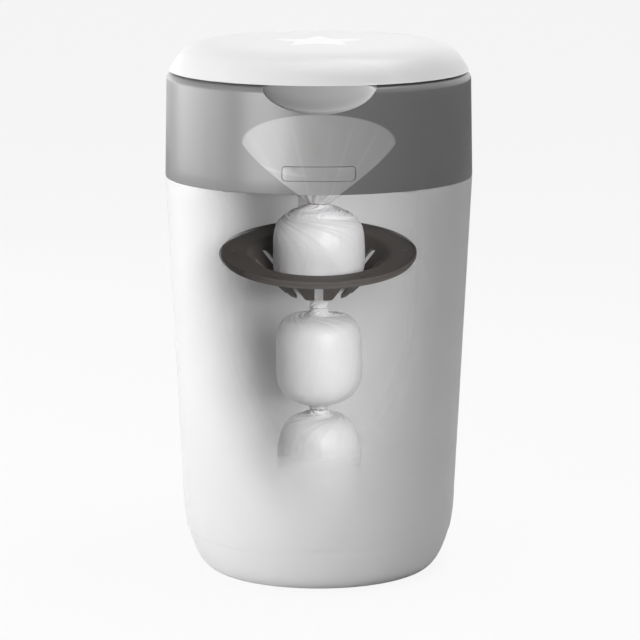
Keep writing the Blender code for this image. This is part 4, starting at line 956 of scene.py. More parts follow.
class Finish:
    """Principled material on object coordinates, fed by fields."""

    def __init__(self, name, **constants):
        self.material = bpy.data.materials.new(name)
        self.material.use_nodes = True
        tree = self.material.node_tree
        self.shader = tree.nodes["Principled BSDF"]
        self.start = Field(tree)
        self.place = self.start.node("ShaderNodeTexCoord", output="Object")
        self.x, self.y, self.z = self.place.split()
        for name, value in constants.items():
            self.shader.inputs[name.replace("_", " ")].default_value = value

    def noise(self, scale, detail=3.0, stretch=(1.0, 1.0, 1.0), twist=0.0, kind="FBM"):
        """Noise between 0 and 1, in cycles a metre."""
        place = self.start.node("ShaderNodeVectorMath", {"operation": "MULTIPLY"},
                                {0: self.place, 1: stretch})
        return self.start.node("ShaderNodeTexNoise", {"noise_type": kind, "normalize": True}, {
            "Vector": place, "Scale": scale, "Detail": detail, "Distortion": twist})

    def feed(self, **fields):
        for name, field in fields.items():
            field.tree.links.new(field.socket, self.shader.inputs[name.replace("_", " ")])

    def relief(self, height, depth):
        """Bump from a height between 0 and 1 and its depth in metres."""
        self.feed(Normal=self.start.node("ShaderNodeBump", inputs={"Height": height, "Distance": depth}))


def moulded(name, colour, roughness, grain=0.00002, paint=None, clear=None, **constants):
    """Moulded plastic: faint mottling and flow marks, fine grain, and a gloss that wanders."""
    look = Finish(name, **constants)
    mottle = look.noise(14.0)
    flow = look.noise(60.0, 2.0, (1.0, 1.0, 0.2))
    tint = (0.972 + mottle * 0.04 + flow * 0.016).shade(tuple(colour))
    if paint:
        tint = paint(look, tint)
    look.feed(Base_Color=tint, Roughness=(mottle * 0.3 + 0.85) * roughness)
    look.relief(look.noise(2600.0, 1.0) * 0.6 + look.noise(420.0, 2.0) * 0.4, grain)
    if clear:
        look.feed(Alpha=1 - clear(look))
    return look.material


def across_plan(look):
    """How far a point lies from the upright axis, with the oval plan made round."""
    return (look.x ** 2 + (look.y / depth()) ** 2) ** 0.5


def front_window(look):
    """How far the tub's front is seen through: a soft upright oval, and spots over plate and bundle."""
    across = look.x / WINDOW_HALF
    below = (WINDOW_HEIGHT - look.z).maths("MAXIMUM", 0.0) / WINDOW_DROP
    frost = look.start.node("ShaderNodeTexWhiteNoise", inputs={"Vector": look.place}) - 0.5
    reach = (across * across + below * below) ** 0.5 + frost * WINDOW_FROST
    inner = (tub_half(look.z) - across_plan(look)).between(*INNER_FACE)
    rise = look.z + (look.y + SEAM_HALF * depth()) * SIGHT_SLOPE
    above = rise - PLATE_SPOT_HEIGHT
    tall = (above / PLATE_SPOT_RISE).maths("MAXIMUM", above / -PLATE_SPOT_DROP)
    plate = ((look.x / PLATE_SPOT_HALF) ** 2 + tall ** 2).between(*PLATE_SPOT_EDGE)
    wide = (look.x.maths("ABSOLUTE") / BUNDLE_SPOT_HALF) ** BUNDLE_SPOT_BEND
    high = ((rise - BUNDLE_SPOT_HEIGHT).maths("ABSOLUTE") / BUNDLE_SPOT_TALL) ** BUNDLE_SPOT_BEND
    bundle = (wide + high).between(*BUNDLE_SPOT_EDGE) * (rise + frost * FADE_FROST).between(*BUNDLE_FADE)
    low, full = WINDOW_EDGE
    soft = reach.between(full, low).maths("MAXIMUM", plate.maths("MAXIMUM", bundle))
    share = soft + inner * (reach.between(full, full - INNER_FADE) - soft)
    return share * look.y.between(*WINDOW_SIDE) * shells().window


def front_strip(look):
    """How far the front of what hangs just below the seam is seen through."""
    return look.z.between(STRIP_TOP, STRIP_TOP - STRIP_FADE) * look.y.between(*STRIP_SIDE) * shells().window


def scooped(look):
    """The collar's scoop, behind the face of its front wall."""
    across, down = look.x / (SCOOP_HALF + PLAY), (COLLAR_TOP - look.z) / (SCOOP_HEIGHT + PLAY)
    deep = SHOULDER_HALF - across_plan(look)
    return (across ** 2 + down ** 2).between(*SCOOP_EDGE) * deep.between(*SCOOP_FACE) * look.y.between(
        *SCOOP_SIDE)


def ghosted(look, tint):
    """The film's funnel, painted faintly on the front of the collar with painted highlights, and the scoop's
    painted light and shade.
    """
    x, z = look.x, look.z
    across = x / GHOST_HALF
    rise = (z - GHOST_HEIGHT) / GHOST_RISE
    bowl = ((across * across + rise * rise) ** 0.5).between(*GHOST_BOWL_EDGE) * z.between(*GHOST_SEAM)
    fall = ((GHOST_HEIGHT - z) / GHOST_DROP).maths("MAXIMUM", 0.0)
    width = (1 - fall ** GHOST_BEND) * GHOST_HALF
    cone = (x.maths("ABSOLUTE") - width).between(GHOST_SOFT, -GHOST_SOFT) * z.between(*GHOST_SEAM[::-1])
    angle = (x / (z - GHOST_VANISH)).maths("ARCTANGENT")
    pulls = look.noise(90.0, 3.0, (1.0, 1.0, 0.4))
    # Painted highlights: lighter streaks along the pleats in the painted funnel's colour
    film_tint = (0.93 + painted_pleat_highlights(look, angle) * 0.10 + pulls * 0.12).shade(GHOST_COLOUR)
    # Painted highlight: the lip band makes the painted funnel stronger, and so lighter, along its lower left
    share = ((bowl + cone).maths("MINIMUM", 1.0) * (painted_lip_highlight(look) * GHOST_LIP_HIGHLIGHT + 1)
             * look.y.between(*GHOST_SIDE) * shells().ghost)
    # Painted light and shade in the scoop: lighter than the collar, darker on the left and lighter on the
    # right
    lining = (look.x / SCOOP_HALF * SCOOP_PAINTED_SHADE + 1).shade(SCOOP_PAINTED_LIGHT)
    return share.blend(scooped(look).blend(tint, lining), film_tint)


def painted_pleat_highlights(look, angle):
    """Painted highlights along the pleats that run down to the neck, as lighter streaks round a few
    directions.
    """
    total = None
    for turn, width, level in GHOST_PLEATS:
        apart = (angle - turn).maths("ABSOLUTE")
        streak = apart.between(width, 0.0) * level
        total = streak if total is None else total + streak
    return total * look.z.between(GHOST_HEIGHT + GHOST_RISE, GHOST_HEIGHT)


def painted_lip_highlight(look):
    """Painted highlight on the near lip of the film's mouth: a brighter band along the lower left."""
    x, z = look.x + CRESCENT_SHIFT, look.z - CRESCENT_HEIGHT
    reach = ((x / CRESCENT_HALF) ** 2 + (z / CRESCENT_DROP) ** 2) ** 0.5
    band = (reach - 1).maths("ABSOLUTE").between(*CRESCENT_BAND)
    return band * look.z.between(*CRESCENT_FALL) * look.x.between(*CRESCENT_SIDE)


def dark_plastic():
    """Jaws: warm dark grey with a little dust; the carrier's pale spine and foot that hang at the back come
    from carrier_plastic.
    """
    look = Finish("warm dark plastic", IOR=1.45, Specular_IOR_Level=0.25)
    mottle = look.noise(22.0)
    dust = look.noise(160.0, 4.0).between(0.62, 0.8)
    dark = (0.9 + mottle * 0.2).shade(tuple(inside().jaw_colour))
    dusty = (dust * 0.06).blend(dark, DUST_COLOUR)
    look.feed(Base_Color=dusty, Roughness=mottle * 0.14 + 0.46)
    look.relief(look.noise(1500.0, 2.0), 0.00003)
    return look.material


def carrier_plastic():
    """Carrier: as dark as the jaws under the plate, and pale where it hangs against the wall."""
    def paint(look, tint):
        return look.y.between(*CARRIER_CHANGE).blend(tint, (*inside().plain_colour, 1.0))
    return moulded("carrier plastic", inside().jaw_colour, 0.45, 0.00003, paint)


def steel():
    """Plain plated steel with fine turning marks and a few dull spots."""
    look = Finish("plated steel", Metallic=1.0)
    mottle = look.noise(300.0, 2.0)
    look.feed(Base_Color=(0.88 + mottle * 0.2).shade(STEEL_COLOUR), Roughness=mottle * 0.25 + 0.2)
    look.relief(look.noise(4000.0, 1.0, (1.0, 1.0, 0.1)), 0.00001)
    return look.material


def rubber():
    """Soft matt seal rubber with a powdery bloom."""
    look = Finish("seal rubber", IOR=1.5)
    bloom = look.noise(120.0, 4.0)
    look.feed(Base_Color=(0.85 + bloom * 0.35).shade(RUBBER_COLOUR), Roughness=bloom * 0.2 + 0.62)
    look.relief(look.noise(1800.0, 2.0), 0.00004)
    return look.material


def wrap():
    """White film round a bundle: crisp creases with painted shade along them, a soft sheen, and painted faint
    shadows of what it holds.
    """
    look = Finish("white film wrap", Coat_Weight=0.08, Coat_Roughness=0.32)
    lumps = look.noise(45.0, 3.0)
    crease = look.noise(75.0, 5.0, (1.0, 1.0, 0.55), 1.6, "RIDGED_MULTIFRACTAL")
    fine = look.noise(520.0, 3.0, (1.0, 1.0, 0.6), 0.8)
    # Painted shade: the lumps tint the film lighter and darker as faint shadows of what it holds, and the
    # creases darken it
    tint = (0.94 + lumps * 0.09 - crease * 0.03).shade(tuple(film().colour))
    look.feed(Base_Color=tint, Roughness=lumps * 0.2 + crease * 0.06 + 0.34)
    look.relief(crease * 0.7 + fine * 0.3, 0.0006)
    return look.material


def clear_film(name, colour, alpha, clear=None):
    """Thin milky film with soft pulls and creases."""
    look = Finish(name)
    pull = look.noise(70.0, 4.0, (1.0, 1.0, 0.35), 1.0)
    look.feed(Base_Color=(0.92 + pull * 0.12).shade(colour), Roughness=pull * 0.25 + 0.2)
    shown = pull * 0.2 + alpha
    look.feed(Alpha=shown * (1 - clear(look)) if clear else shown)
    look.relief(pull, 0.0003)
    return look.material


def outer_white():
    return moulded("tub plastic", shells().tub_colour, 0.42, clear=front_window, IOR=1.48,
                   Specular_IOR_Level=0.4)


def inner_white(name, clear=None):
    return moulded(name, inside().plain_colour, 0.5, 0.00003, clear=clear)


def collar_grey():
    return moulded("collar plastic", shells().collar_colour, 0.34, 0.00003, ghosted, IOR=1.5,
                    Coat_Weight=0.8, Coat_Roughness=0.34)


# Pieces of the tub and the collar


def tub_inside():
    """Inner outline of the tub, from the middle of its floor up to the root of its lip."""
    fillet = arc((BASE_HALF, KNEE_HEIGHT), (BASE_FILLET - WALL, KNEE_HEIGHT - FLOOR), -math.pi / 2, 0.0,
                 FILLET_STEPS)
    root = SEAM_HEIGHT - LIP_ROOT
    return [(0.0, FLOOR)] + fillet + [(tub_half(root) - WALL, root)]


def tub_outline():
    """Wall and floor of the tub, with a fine step low on its rounded foot."""
    turns = [-math.pi / 2 * index / FILLET_STEPS for index in range(FILLET_STEPS + 1)]
    for share in BASE_LINE_SHARES:
        turns.append(math.asin((BASE_LINE - BASE_LINE_REACH * share) / KNEE_HEIGHT - 1))
    outer = []
    for turn in sorted(turns, reverse=True):
        height = KNEE_HEIGHT * (1 + math.sin(turn))
        under = max(0.0, BASE_LINE - height) / BASE_LINE_REACH
        step = BASE_LINE_DEPTH * (1 - math.exp(-BASE_LINE_RATE * under)) * min(1.0, height / BASE_LINE * 2)
        outer.append((BASE_HALF + BASE_FILLET * math.cos(turn) - step, height))
    outer[-1] = (BASE_HALF, 0.0)
    rim = [(LIP_INNER, SEAM_HEIGHT - LIP_ROOT / 2), (LIP_INNER, SEAM_HEIGHT + LIP_HEIGHT),
           (LIP_OUTER, SEAM_HEIGHT + LIP_HEIGHT), (LIP_OUTER, SEAM_HEIGHT), (SEAM_HALF, SEAM_HEIGHT)]
    return tub_inside() + rim + outer + [(0.0, 0.0)]


def tub_face():
    """Thin skin that is the inner face of the tub, so that a lamp can be limited to the inside."""
    near, far = ([(max(0.0, radius - gap), height + gap) for radius, height in tub_inside()]
                 for gap in (SKIN_GAP, SKIN_GAP * 2))
    return shell(far[:-1] + [(far[-1][0], near[-1][1])] + near[::-1], 0.0)


def keeper():
    """Loop inside the tub's front wall that the latch hooks under."""
    bar_front = latch_y() + LATCH_NOSE_REACH - LATCH_BITE
    bar_back = bar_front + KEEPER_WALL
    root, inner = front_root(), KEEPER_HALF - KEEPER_WALL
    outline = [(-KEEPER_HALF, root), (-inner, root), (-inner, bar_front), (inner, bar_front),
               (inner, root), (KEEPER_HALF, root), (KEEPER_HALF, bar_back), (-KEEPER_HALF, bar_back)]
    low = LATCH_Z - LATCH_NOSE_DROP + FIT
    return flat([outline], low, low + KEEPER_TALL)


def tub_shape():
    """Tub with webs, barrels, keeper, lip notch and pin bore."""
    wall_y = plan_depth(side_spans()[1][1], SEAM_HALF) - WALL / 2
    added = [block((start, wall_y, SEAM_HEIGHT - WEB_HEIGHT), (end, hinge_y(), SEAM_HEIGHT - FIT))
             for start, end in side_spans()]
    added += barrels(side_spans(), hinge_y(), HINGE_Z) + [keeper()]
    body = combined(shell(tub_outline()), added, "UNION")
    notch = block((-LIP_NOTCH_HALF, -SEAM_HALF, SEAM_HEIGHT + FIT),
                  (LIP_NOTCH_HALF, latch_y(), SEAM_HEIGHT + LIP_HEIGHT + OVERRUN))
    return combined(body, [notch, pin_bore(hinge_y(), HINGE_Z)], "DIFFERENCE")


def collar_outline():
    """Wall, rounded shoulder, rim and inner ledge of the collar."""
    shoulder = arc((TOP_HALF - SHOULDER_DROP + SHOULDER_INSET, SHOULDER_HEIGHT),
                   (SHOULDER_DROP, SHOULDER_DROP), math.pi / 2, 0.0, ARC_STEPS * 2)
    ledge_inner = collar_half(LEDGE_TOP) - WALL - LEDGE_WIDTH
    return [(RIM_INNER, COLLAR_TOP)] + shoulder + [
        (SEAM_HALF, COLLAR_BOTTOM), (SEAM_HALF - WALL, COLLAR_BOTTOM),
        (collar_half(LEDGE_BOTTOM) - WALL, LEDGE_BOTTOM), (ledge_inner, LEDGE_BOTTOM),
        (ledge_inner, LEDGE_TOP), (collar_half(LEDGE_TOP) - WALL, LEDGE_TOP),
        (SHOULDER_HALF - WALL, COLLAR_TOP - WALL), (RIM_INNER, COLLAR_TOP - WALL)]


def scoop(margin):
    """Ellipsoid bent to follow the collar's front wall, centred under the lid's seam."""
    shape = bmesh.new()
    bmesh.ops.create_uvsphere(shape, u_segments=SCOOP_STEPS, v_segments=SCOOP_STEPS // 2, radius=1.0)
    for vertex in shape.verts:
        x = vertex.co.x * (SCOOP_HALF + margin)
        y = vertex.co.y * (SCOOP_DEPTH + margin) - plan_depth(x, SHOULDER_HALF)
        vertex.co = (x, y, COLLAR_TOP + vertex.co.z * (SCOOP_HEIGHT + margin))
    return meshed(shape)


def rounded_bar(half_wide, half_tall, corner, front, back):
    """Bar with rounded corners that runs along Y, centred on the button's height."""
    outline = []
    for index, (side, rise) in enumerate([(1, 1), (-1, 1), (-1, -1), (1, -1)]):
        centre = (side * (half_wide - corner), BUTTON_HEIGHT + rise * (half_tall - corner))
        outline += arc(centre, (corner, corner), math.pi / 2 * index, math.pi / 2 * (index + 1), ARC_STEPS)
    upright = Matrix(((1, 0, 0, 0), (0, 0, -1, 0), (0, 1, 0, 0), (0, 0, 0, 1)))
    return moved(flat([outline], -back, -front), upright)


def cheeks():
    """Two cheeks behind the front wall that hold the latch's pin."""
    low, root = COLLAR_BOTTOM + FIT, front_root()
    made = []
    for side in (-1, 1):
        start, end = sorted((side * CHEEK_INNER, side * (CHEEK_INNER + CHEEK)))
        made.append(block((start, root, low), (end, root + CHEEK_DEPTH, low + CHEEK_TALL)))
    return made


def collar_added():
    """Webs, arms, barrels and cheeks that are moulded with the collar."""
    wall_y = plan_depth(KNUCKLE_MIDDLE / 2, SEAM_HALF) - WALL / 2
    half = KNUCKLE_MIDDLE / 2
    added = [block((-half, wall_y, HINGE_Z + FIT), (half, hinge_y(), HINGE_Z + WEB_HEIGHT))]
    added += barrels([(-half, half)], hinge_y(), HINGE_Z)
    side_y = plan_depth(side_spans()[1][1], SHOULDER_HALF) - WALL / 2
    added += [block((start, side_y, LID_HINGE_Z - WEB_HEIGHT), (end, lid_hinge_y(), LID_HINGE_Z))
              for start, end in side_spans()]
    return added + barrels(side_spans(), lid_hinge_y(), LID_HINGE_Z) + cheeks()


def collar_shape():
    """Collar with its scoop, button opening, hinges and latch cheeks."""
    lining = WALL / 2
    envelope = shell([
        (0.0, COLLAR_TOP - lining), (TOP_HALF - lining, COLLAR_TOP - lining),
        (SHOULDER_HALF - lining, SHOULDER_HEIGHT), (SEAM_HALF - lining, COLLAR_BOTTOM + lining),
        (0.0, COLLAR_BOTTOM + lining)], 0.0)
    housing = combined(scoop(SCOOP_WALL), [envelope], "INTERSECT")
    body = combined(shell(collar_outline()), [housing] + collar_added(), "UNION")
    reach = CHEEK_INNER + CHEEK + OVERRUN
    bore = rod_across(LATCH_PIN_RADIUS + FIT, reach, latch_y(), LATCH_Z)
    opening = rounded_bar(BUTTON_WIDTH / 2, BUTTON_TALL / 2, BUTTON_CORNER, -SEAM_HALF - OVERRUN, latch_y())
    cuts = [scoop(0.0), opening, bore, pin_bore(hinge_y(), HINGE_Z), pin_bore(lid_hinge_y(), LID_HINGE_Z)]
    return combined(body, cuts, "DIFFERENCE")


def wall_slice(outer_inset, inner_inset):
    """Band of the collar's wall round the button, between two depths below its surface."""
    low, high = BUTTON_HEIGHT - BUTTON_TALL, BUTTON_HEIGHT + BUTTON_TALL
    return shell([(collar_half(high) - inner_inset, high), (collar_half(high) - outer_inset, high),
                  (collar_half(low) - outer_inset, low), (collar_half(low) - inner_inset, low)], 0.0)


def button_shape():
    """Bare release button with softened edges, a retaining flange and a plunger."""
    deep = WALL + FIT + BUTTON_FLANGE
    face = rounded_bar(BUTTON_WIDTH / 2 - BUTTON_GAP, BUTTON_TALL / 2 - BUTTON_GAP,
                       BUTTON_CORNER - BUTTON_GAP, -SEAM_HALF - OVERRUN, latch_y())
    body = softened(combined(wall_slice(0.0, deep), [face], "INTERSECT"), BUTTON_EDGE)
    back = depth() * (collar_half(BUTTON_HEIGHT) - deep)
    low = BUTTON_HEIGHT - PLUNGER_TALL * PLUNGER_LOW_SHARE
    plunger = block((-PLUNGER_HALF, -back - BUTTON_FLANGE / 2, low),
                    (PLUNGER_HALF, latch_y() - LATCH_ARM_FRONT - FIT, low + PLUNGER_TALL))
    ends = rounded_bar(BUTTON_WIDTH / 2 + BUTTON_FLANGE_REACH, BUTTON_TALL / 2 - FIT * 2,
                       BUTTON_CORNER - FIT, -SEAM_HALF - OVERRUN, latch_y())
    flange = combined(wall_slice(WALL + FIT, deep), [ends], "INTERSECT")
    return combined(body, [flange, plunger], "UNION")


def softened(mesh, width):
    """Bevel the sharp edges of a mesh."""
    thing = loose_object("edges", mesh)
    step = thing.modifiers.new("edges", "BEVEL")
    step.width = width
    step.segments = 2
    step.limit_method = "ANGLE"
    step.angle_limit = SHARP_ANGLE
    step.use_clamp_overlap = True
    return settled(thing)


def bezel_shape():
    """Inner bezel that slopes from under the rim to the deck."""
    low, high = DECK_TOP + FIT, COLLAR_TOP - WALL - FIT
    top = RIM_INNER + BEZEL_LAP
    bottom = (CUP_RADIUS + CUP_FLANGE_WIDTH + PLAY) / depth()
    return shell([(top - BEZEL_WALL, high), (top, high), (bottom + BEZEL_WALL, low), (bottom, low)])


# Pieces of the lid


def dome(half, rise, down):
    """Outline of the lid's flat-topped dome, from its middle out if down, else from its edge in."""
    points = []
    for index in range(DOME_STEPS + 1):
        angle = math.pi / 2 * index / DOME_STEPS
        share = math.sin(angle) ** (2 / LID_FLAT_SHARE)
        points.append((half * share, LID_BOTTOM + rise * math.cos(angle) ** (2 * LID_EDGE_SHARE)))
    return points if down else points[::-1]


def star_outline(radius):
    """Regular star with rounded tips."""
    points = []
    waist = radius * STAR_WAIST_SHARE
    for index in range(STAR_POINTS):
        angle = math.pi / 2 + math.tau * index / STAR_POINTS
        along = Vector((math.cos(angle), math.sin(angle)))
        side = Vector((-along.y, along.x)) * STAR_TIP / 2
        low, tip = along * (radius - STAR_TIP / 2), along * radius
        for step in range(STAR_TIP_STEPS + 1):
            share = step / STAR_TIP_STEPS
            bend = (low - side) * (1 - share) ** 2 + (tip * 2 - low) * 2 * share * (1 - share)
            points.append(bend + (low + side) * share ** 2)
        turn = angle + math.pi / STAR_POINTS
        points.append(Vector((waist * math.cos(turn), waist * math.sin(turn))))
    return points


def lid_shape():
    """Domed lid with its hinge arm, screw bosses and a pocket for the star."""
    outline = dome(TOP_HALF, LID_RISE, True) + dome(TOP_HALF - WALL, LID_RISE - WALL, False)
    half = KNUCKLE_MIDDLE / 2
    wall_y = plan_depth(half, TOP_HALF) - WALL / 2
    back = lid_hinge_y() + LID_WEB / 2
    top = LID_BOTTOM + LID_WEB + FIT * 2
    length = LID_TOP - WALL / 2 - BOSS_FOOT
    boss = ring(rod(BOSS_RADIUS, (0.0, 0.0, 0.0), (0.0, 0.0, length)), BOSS_COUNT, BOSS_CIRCLE,
                math.pi / BOSS_COUNT, BOSS_FOOT)
    added = [block((-half, wall_y, LID_BOTTOM + FIT * 2), (half, back, top)),
             block((-half + FIT, lid_hinge_y() - LID_WEB / 2, LID_HINGE_Z),
                   (half - FIT, back - FIT, top - FIT)),
             boss] + barrels([(-half, half)], lid_hinge_y(), LID_HINGE_Z)
    body = combined(shell(outline, 0.0), added, "UNION")
    pocket = flat([star_outline(STAR_RADIUS + FIT)], LID_TOP - STAR_THICK - FIT, LID_TOP + OVERRUN)
    return combined(body, [pin_bore(lid_hinge_y(), LID_HINGE_Z), pocket], "DIFFERENCE")


def liner_shape():
    """Liner inside the lid with its plug."""
    floor, inner = PLUG_FLOOR + LINER_WALL, PLUG_HALF - LINER_WALL
    return shell([
        (0.0, floor), (inner - PLUG_CHAMFER, floor), (inner, floor + PLUG_CHAMFER),
        (inner, LINER_BOTTOM + LINER_WALL), (LINER_OUTER, LINER_BOTTOM + LINER_WALL),
        (LINER_OUTER, LINER_BOTTOM), (PLUG_HALF, LINER_BOTTOM), (PLUG_HALF, PLUG_FLOOR + PLUG_CHAMFER),
        (PLUG_HALF - PLUG_CHAMFER, PLUG_FLOOR), (0.0, PLUG_FLOOR)])


def seal_shape():
    """Soft seal under the lid's edge."""
    inner = RIM_INNER + SEAL_INSET
    return shell([(inner, LID_BOTTOM + SEAL_THICK), (inner + SEAL_WIDTH, LID_BOTTOM + SEAL_THICK),
                  (inner + SEAL_WIDTH, LID_BOTTOM), (inner, LID_BOTTOM)], EASE / 2)


# Pieces of the turntable and the cassette


def oval(half, squash=1.0):
    turns = [math.tau * index / OVAL_STEPS for index in range(OVAL_STEPS)]
    return [(half * math.cos(turn), half * squash * math.sin(turn)) for turn in turns]


def deck_shape():
    """Plate on the collar's ledge with the round hole that the turntable hangs in."""
    half = collar_half(DECK_TOP) - WALL - FIT
    return flat([oval(half, depth()), oval(DECK_HOLE)], DECK_BOTTOM, DECK_TOP)


def ratchet():
    """Ring of saw teeth round the cup, under the deck."""
    step = math.tau / TOOTH_COUNT
    teeth = []
    for index in range(TOOTH_COUNT):
        angle = step * index
        for radius, turn in ((CUP_RADIUS + TOOTH_ROOT, angle), (TOOTH_TIP, angle + step * TOOTH_TIP_SHARE)):
            teeth.append((radius * math.cos(turn), radius * math.sin(turn)))
    high = DECK_BOTTOM - TOOTH_DROP
    return flat([teeth, oval(CUP_RADIUS - CUP_WALL / 2)], high - TOOTH_BAND, high)


def cup_shape():
    """Turntable cup that hangs in the deck's hole by its flange, with teeth and finger grips."""
    rim = CUP_RADIUS + CUP_FLANGE_WIDTH
    floor_inner = CUP_INNER - CUP_FLOOR_WIDTH
    body = turned([(CUP_INNER, CUP_TOP), (rim, CUP_TOP), (rim, CUP_FLANGE_BOTTOM),
                   (CUP_RADIUS, CUP_FLANGE_BOTTOM), (CUP_RADIUS, CUP_BOTTOM), (floor_inner, CUP_BOTTOM),
                   (floor_inner, CUP_BOTTOM + CUP_WALL), (CUP_INNER, CUP_BOTTOM + CUP_WALL)])
    outer = math.sqrt((rim - PLAY) ** 2 - GRIP_HALF ** 2)
    bar = softened(block((outer - GRIP_THICK, -GRIP_HALF, CUP_TOP - CUP_FLANGE / 2),
                         (outer, GRIP_HALF, CUP_TOP + GRIP_HEIGHT)), GRIP_ROUND)
    grips = ring(bar, GRIP_COUNT, 0.0, math.pi / 2)
    return combined(body, [ratchet(), grips], "UNION")


def tray_shape():
    """Ring-shaped tray of the refill cassette."""
    inner, outer, low = TRAY_INNER_RADIUS, TRAY_OUTER, TRAY_BOTTOM
    floor = low + TRAY_WALL
    outer_top, inner_top = low + TRAY_OUTER_HEIGHT, low + TRAY_INNER_HEIGHT
    return turned([
        (outer - TRAY_WALL, outer_top), (outer, outer_top), (outer, low), (inner, low), (inner, inner_top),
        (inner + TRAY_WALL, inner_top), (inner + TRAY_WALL, floor), (outer - TRAY_WALL, floor)])


def pack_shape():
    """Film folded into the tray: the top of the stack shows the edge of every fold."""
    inner, outer = TRAY_INNER_RADIUS + TRAY_WALL + FIT, TRAY_OUTER - TRAY_WALL - FIT
    low = TRAY_BOTTOM + TRAY_WALL + FIT
    high = TRAY_BOTTOM + TRAY_WALL + PACK_HEIGHT
    points = [(outer, low), (inner, low)]
    count = PACK_FOLDS * 4
    for index in range(count + 1):
        share = index / count
        drop = PACK_FOLD_DEPTH * (0.5 - 0.5 * math.cos(math.tau * PACK_FOLDS * share))
        points.append((inner + (outer - inner) * share, high - drop))
    return turned(points, ease=0.0)


def cap_shape():
    """Cap over the film, with the slit that the film leaves by."""
    inner, low = TRAY_INNER_RADIUS + TRAY_WALL + CAP_SLIT, TRAY_BOTTOM + TRAY_OUTER_HEIGHT + FIT
    return turned([(inner, low + CAP_THICK), (TRAY_OUTER, low + CAP_THICK), (TRAY_OUTER, low), (inner, low)])


def funnel_shape():
    """Film that rests on the tray's inner wall and draws in to a neck, pleated as it goes."""
    points = [(FUNNEL_MOUTH + FUNNEL_LIP, 0.0, FUNNEL_TOP + FILM)]
    for index in range(FUNNEL_ROWS + 1):
        share = index / FUNNEL_ROWS
        radius = FUNNEL_NECK + (FUNNEL_MOUTH - FUNNEL_NECK) * (1 - share ** FUNNEL_BEND_SHARE)
        points.append((radius - FILM, 0.0, FUNNEL_TOP + FILM - (FUNNEL_DEPTH + FILM) * share))
    profile = bpy.data.meshes.new("film outline")
    profile.from_pydata(points, [(index, index + 1) for index in range(len(points) - 1)], [])
    thing = loose_object("film", profile)
    follow(thing, "Turned shell", Turn_steps=shells().turn_steps * 2, Depth_share=1.0)
    follow(thing, "Pleated film", Pleats=film().pleats, Pleat_depth=film().pleat_depth,
           Twist=film().twist, Mouth=FUNNEL_MOUTH, Seed=film().seed)
    step = thing.modifiers.new("thickness", "SOLIDIFY")
    step.thickness = FILM
    step.offset = 0.0
    return settled(thing)


# Pieces of the jaws


def jaw_outline():
    """Flat ring with a raised rim, then the cone of the jaws down to their tips."""
    slant = PLATE_THICK * math.sin(math.pi / 4)
    rim = PLATE_RADIUS - PLATE_RIM
    bend = arc((JAW_MOUTH + JAW_BEND, -JAW_ROUND), (JAW_ROUND, JAW_ROUND), math.pi * 3 / 4, math.pi / 2,
               ARC_STEPS)
    return [(JAW_TIP, -JAW_DROP)] + bend + [
        (rim, 0.0), (rim + PLATE_RIM * PLATE_RIM_SLOPE_SHARE, PLATE_RIM_RISE), (PLATE_RADIUS, PLATE_RIM_RISE),
        (PLATE_RADIUS, -PLATE_THICK), (JAW_MOUTH + JAW_BEND, -PLATE_THICK),
        (JAW_MOUTH - JAW_BEND + slant, -JAW_BEND - slant), (JAW_TIP + slant, -JAW_DROP - slant)]


def slot_cutter():
    """Cutter of one slot: round at its outer end, and flared at the tips to round the fingers."""
    half, end = SLOT_WIDTH / 2, SLOT_REACH - SLOT_WIDTH / 2
    side = []
    for index in range(ARC_STEPS + 1):
        turn = math.pi / 2 * index / ARC_STEPS
        side.append((JAW_TIP + TIP_ROUND * (1 - math.sin(turn)), half + TIP_ROUND * (1 - math.cos(turn))))
    side.append((JAW_TIP - SLOT_WIDTH, half + TIP_ROUND))
    outline = [(x, -y) for x, y in side[::-1]]
    outline += arc((end, 0.0), (half, half), -math.pi / 2, math.pi / 2, ARC_STEPS * 2) + side
    return flat([outline], -JAW_DROP - PLATE_THICK - OVERRUN * 2, OVERRUN)


def plate_shape():
    """Dark plate with a ring of slotted jaws that grip the bundle from below."""
    body = turned(jaw_outline(), steps=inside().plate_steps)
    cut = combined(body, [ring(slot_cutter(), JAW_COUNT, 0.0)], "DIFFERENCE")
    return moved(cut, plate_place())


def foot_back():
    inner = collar_half(LEDGE_TOP) - WALL - LEDGE_WIDTH
    return plan_depth(CARRIER_HALF, inner) - FOOT_CLEARANCE


def carrier_shape():
    """Ring under the jaw plate on an arm and a spine that hang from the deck at the back."""
    outer = CARRIER_OUTER
    inner = outer - CARRIER_RING_WIDTH
    band = moved(turned([(inner, CARRIER_TOP), (outer, CARRIER_TOP), (outer, CARRIER_BOTTOM),
                         (inner, CARRIER_BOTTOM)]), plate_place())
    arm = block((-CARRIER_HALF + FIT, outer - CARRIER_RING_WIDTH / 2, CARRIER_BOTTOM + FIT),
                (CARRIER_HALF - FIT, SPINE_BACK - PLAY, CARRIER_TOP - FIT))
    low = PLATE_HEIGHT + SPINE_FRONT * math.sin(PLATE_PITCH) - SPINE_TAIL
    top = DECK_BOTTOM - FIT
    spine = softened(block((-CARRIER_HALF, SPINE_FRONT, low),
                           (CARRIER_HALF, SPINE_BACK, top - CARRIER_THICK / 2)), EASE)
    foot = softened(block((-CARRIER_HALF - FIT, SPINE_FRONT - FIT, top - CARRIER_THICK),
                          (CARRIER_HALF + FIT, foot_back(), top)), EASE)
    return combined(band, [moved(arm, plate_place()), spine, foot], "UNION")


# Fasteners


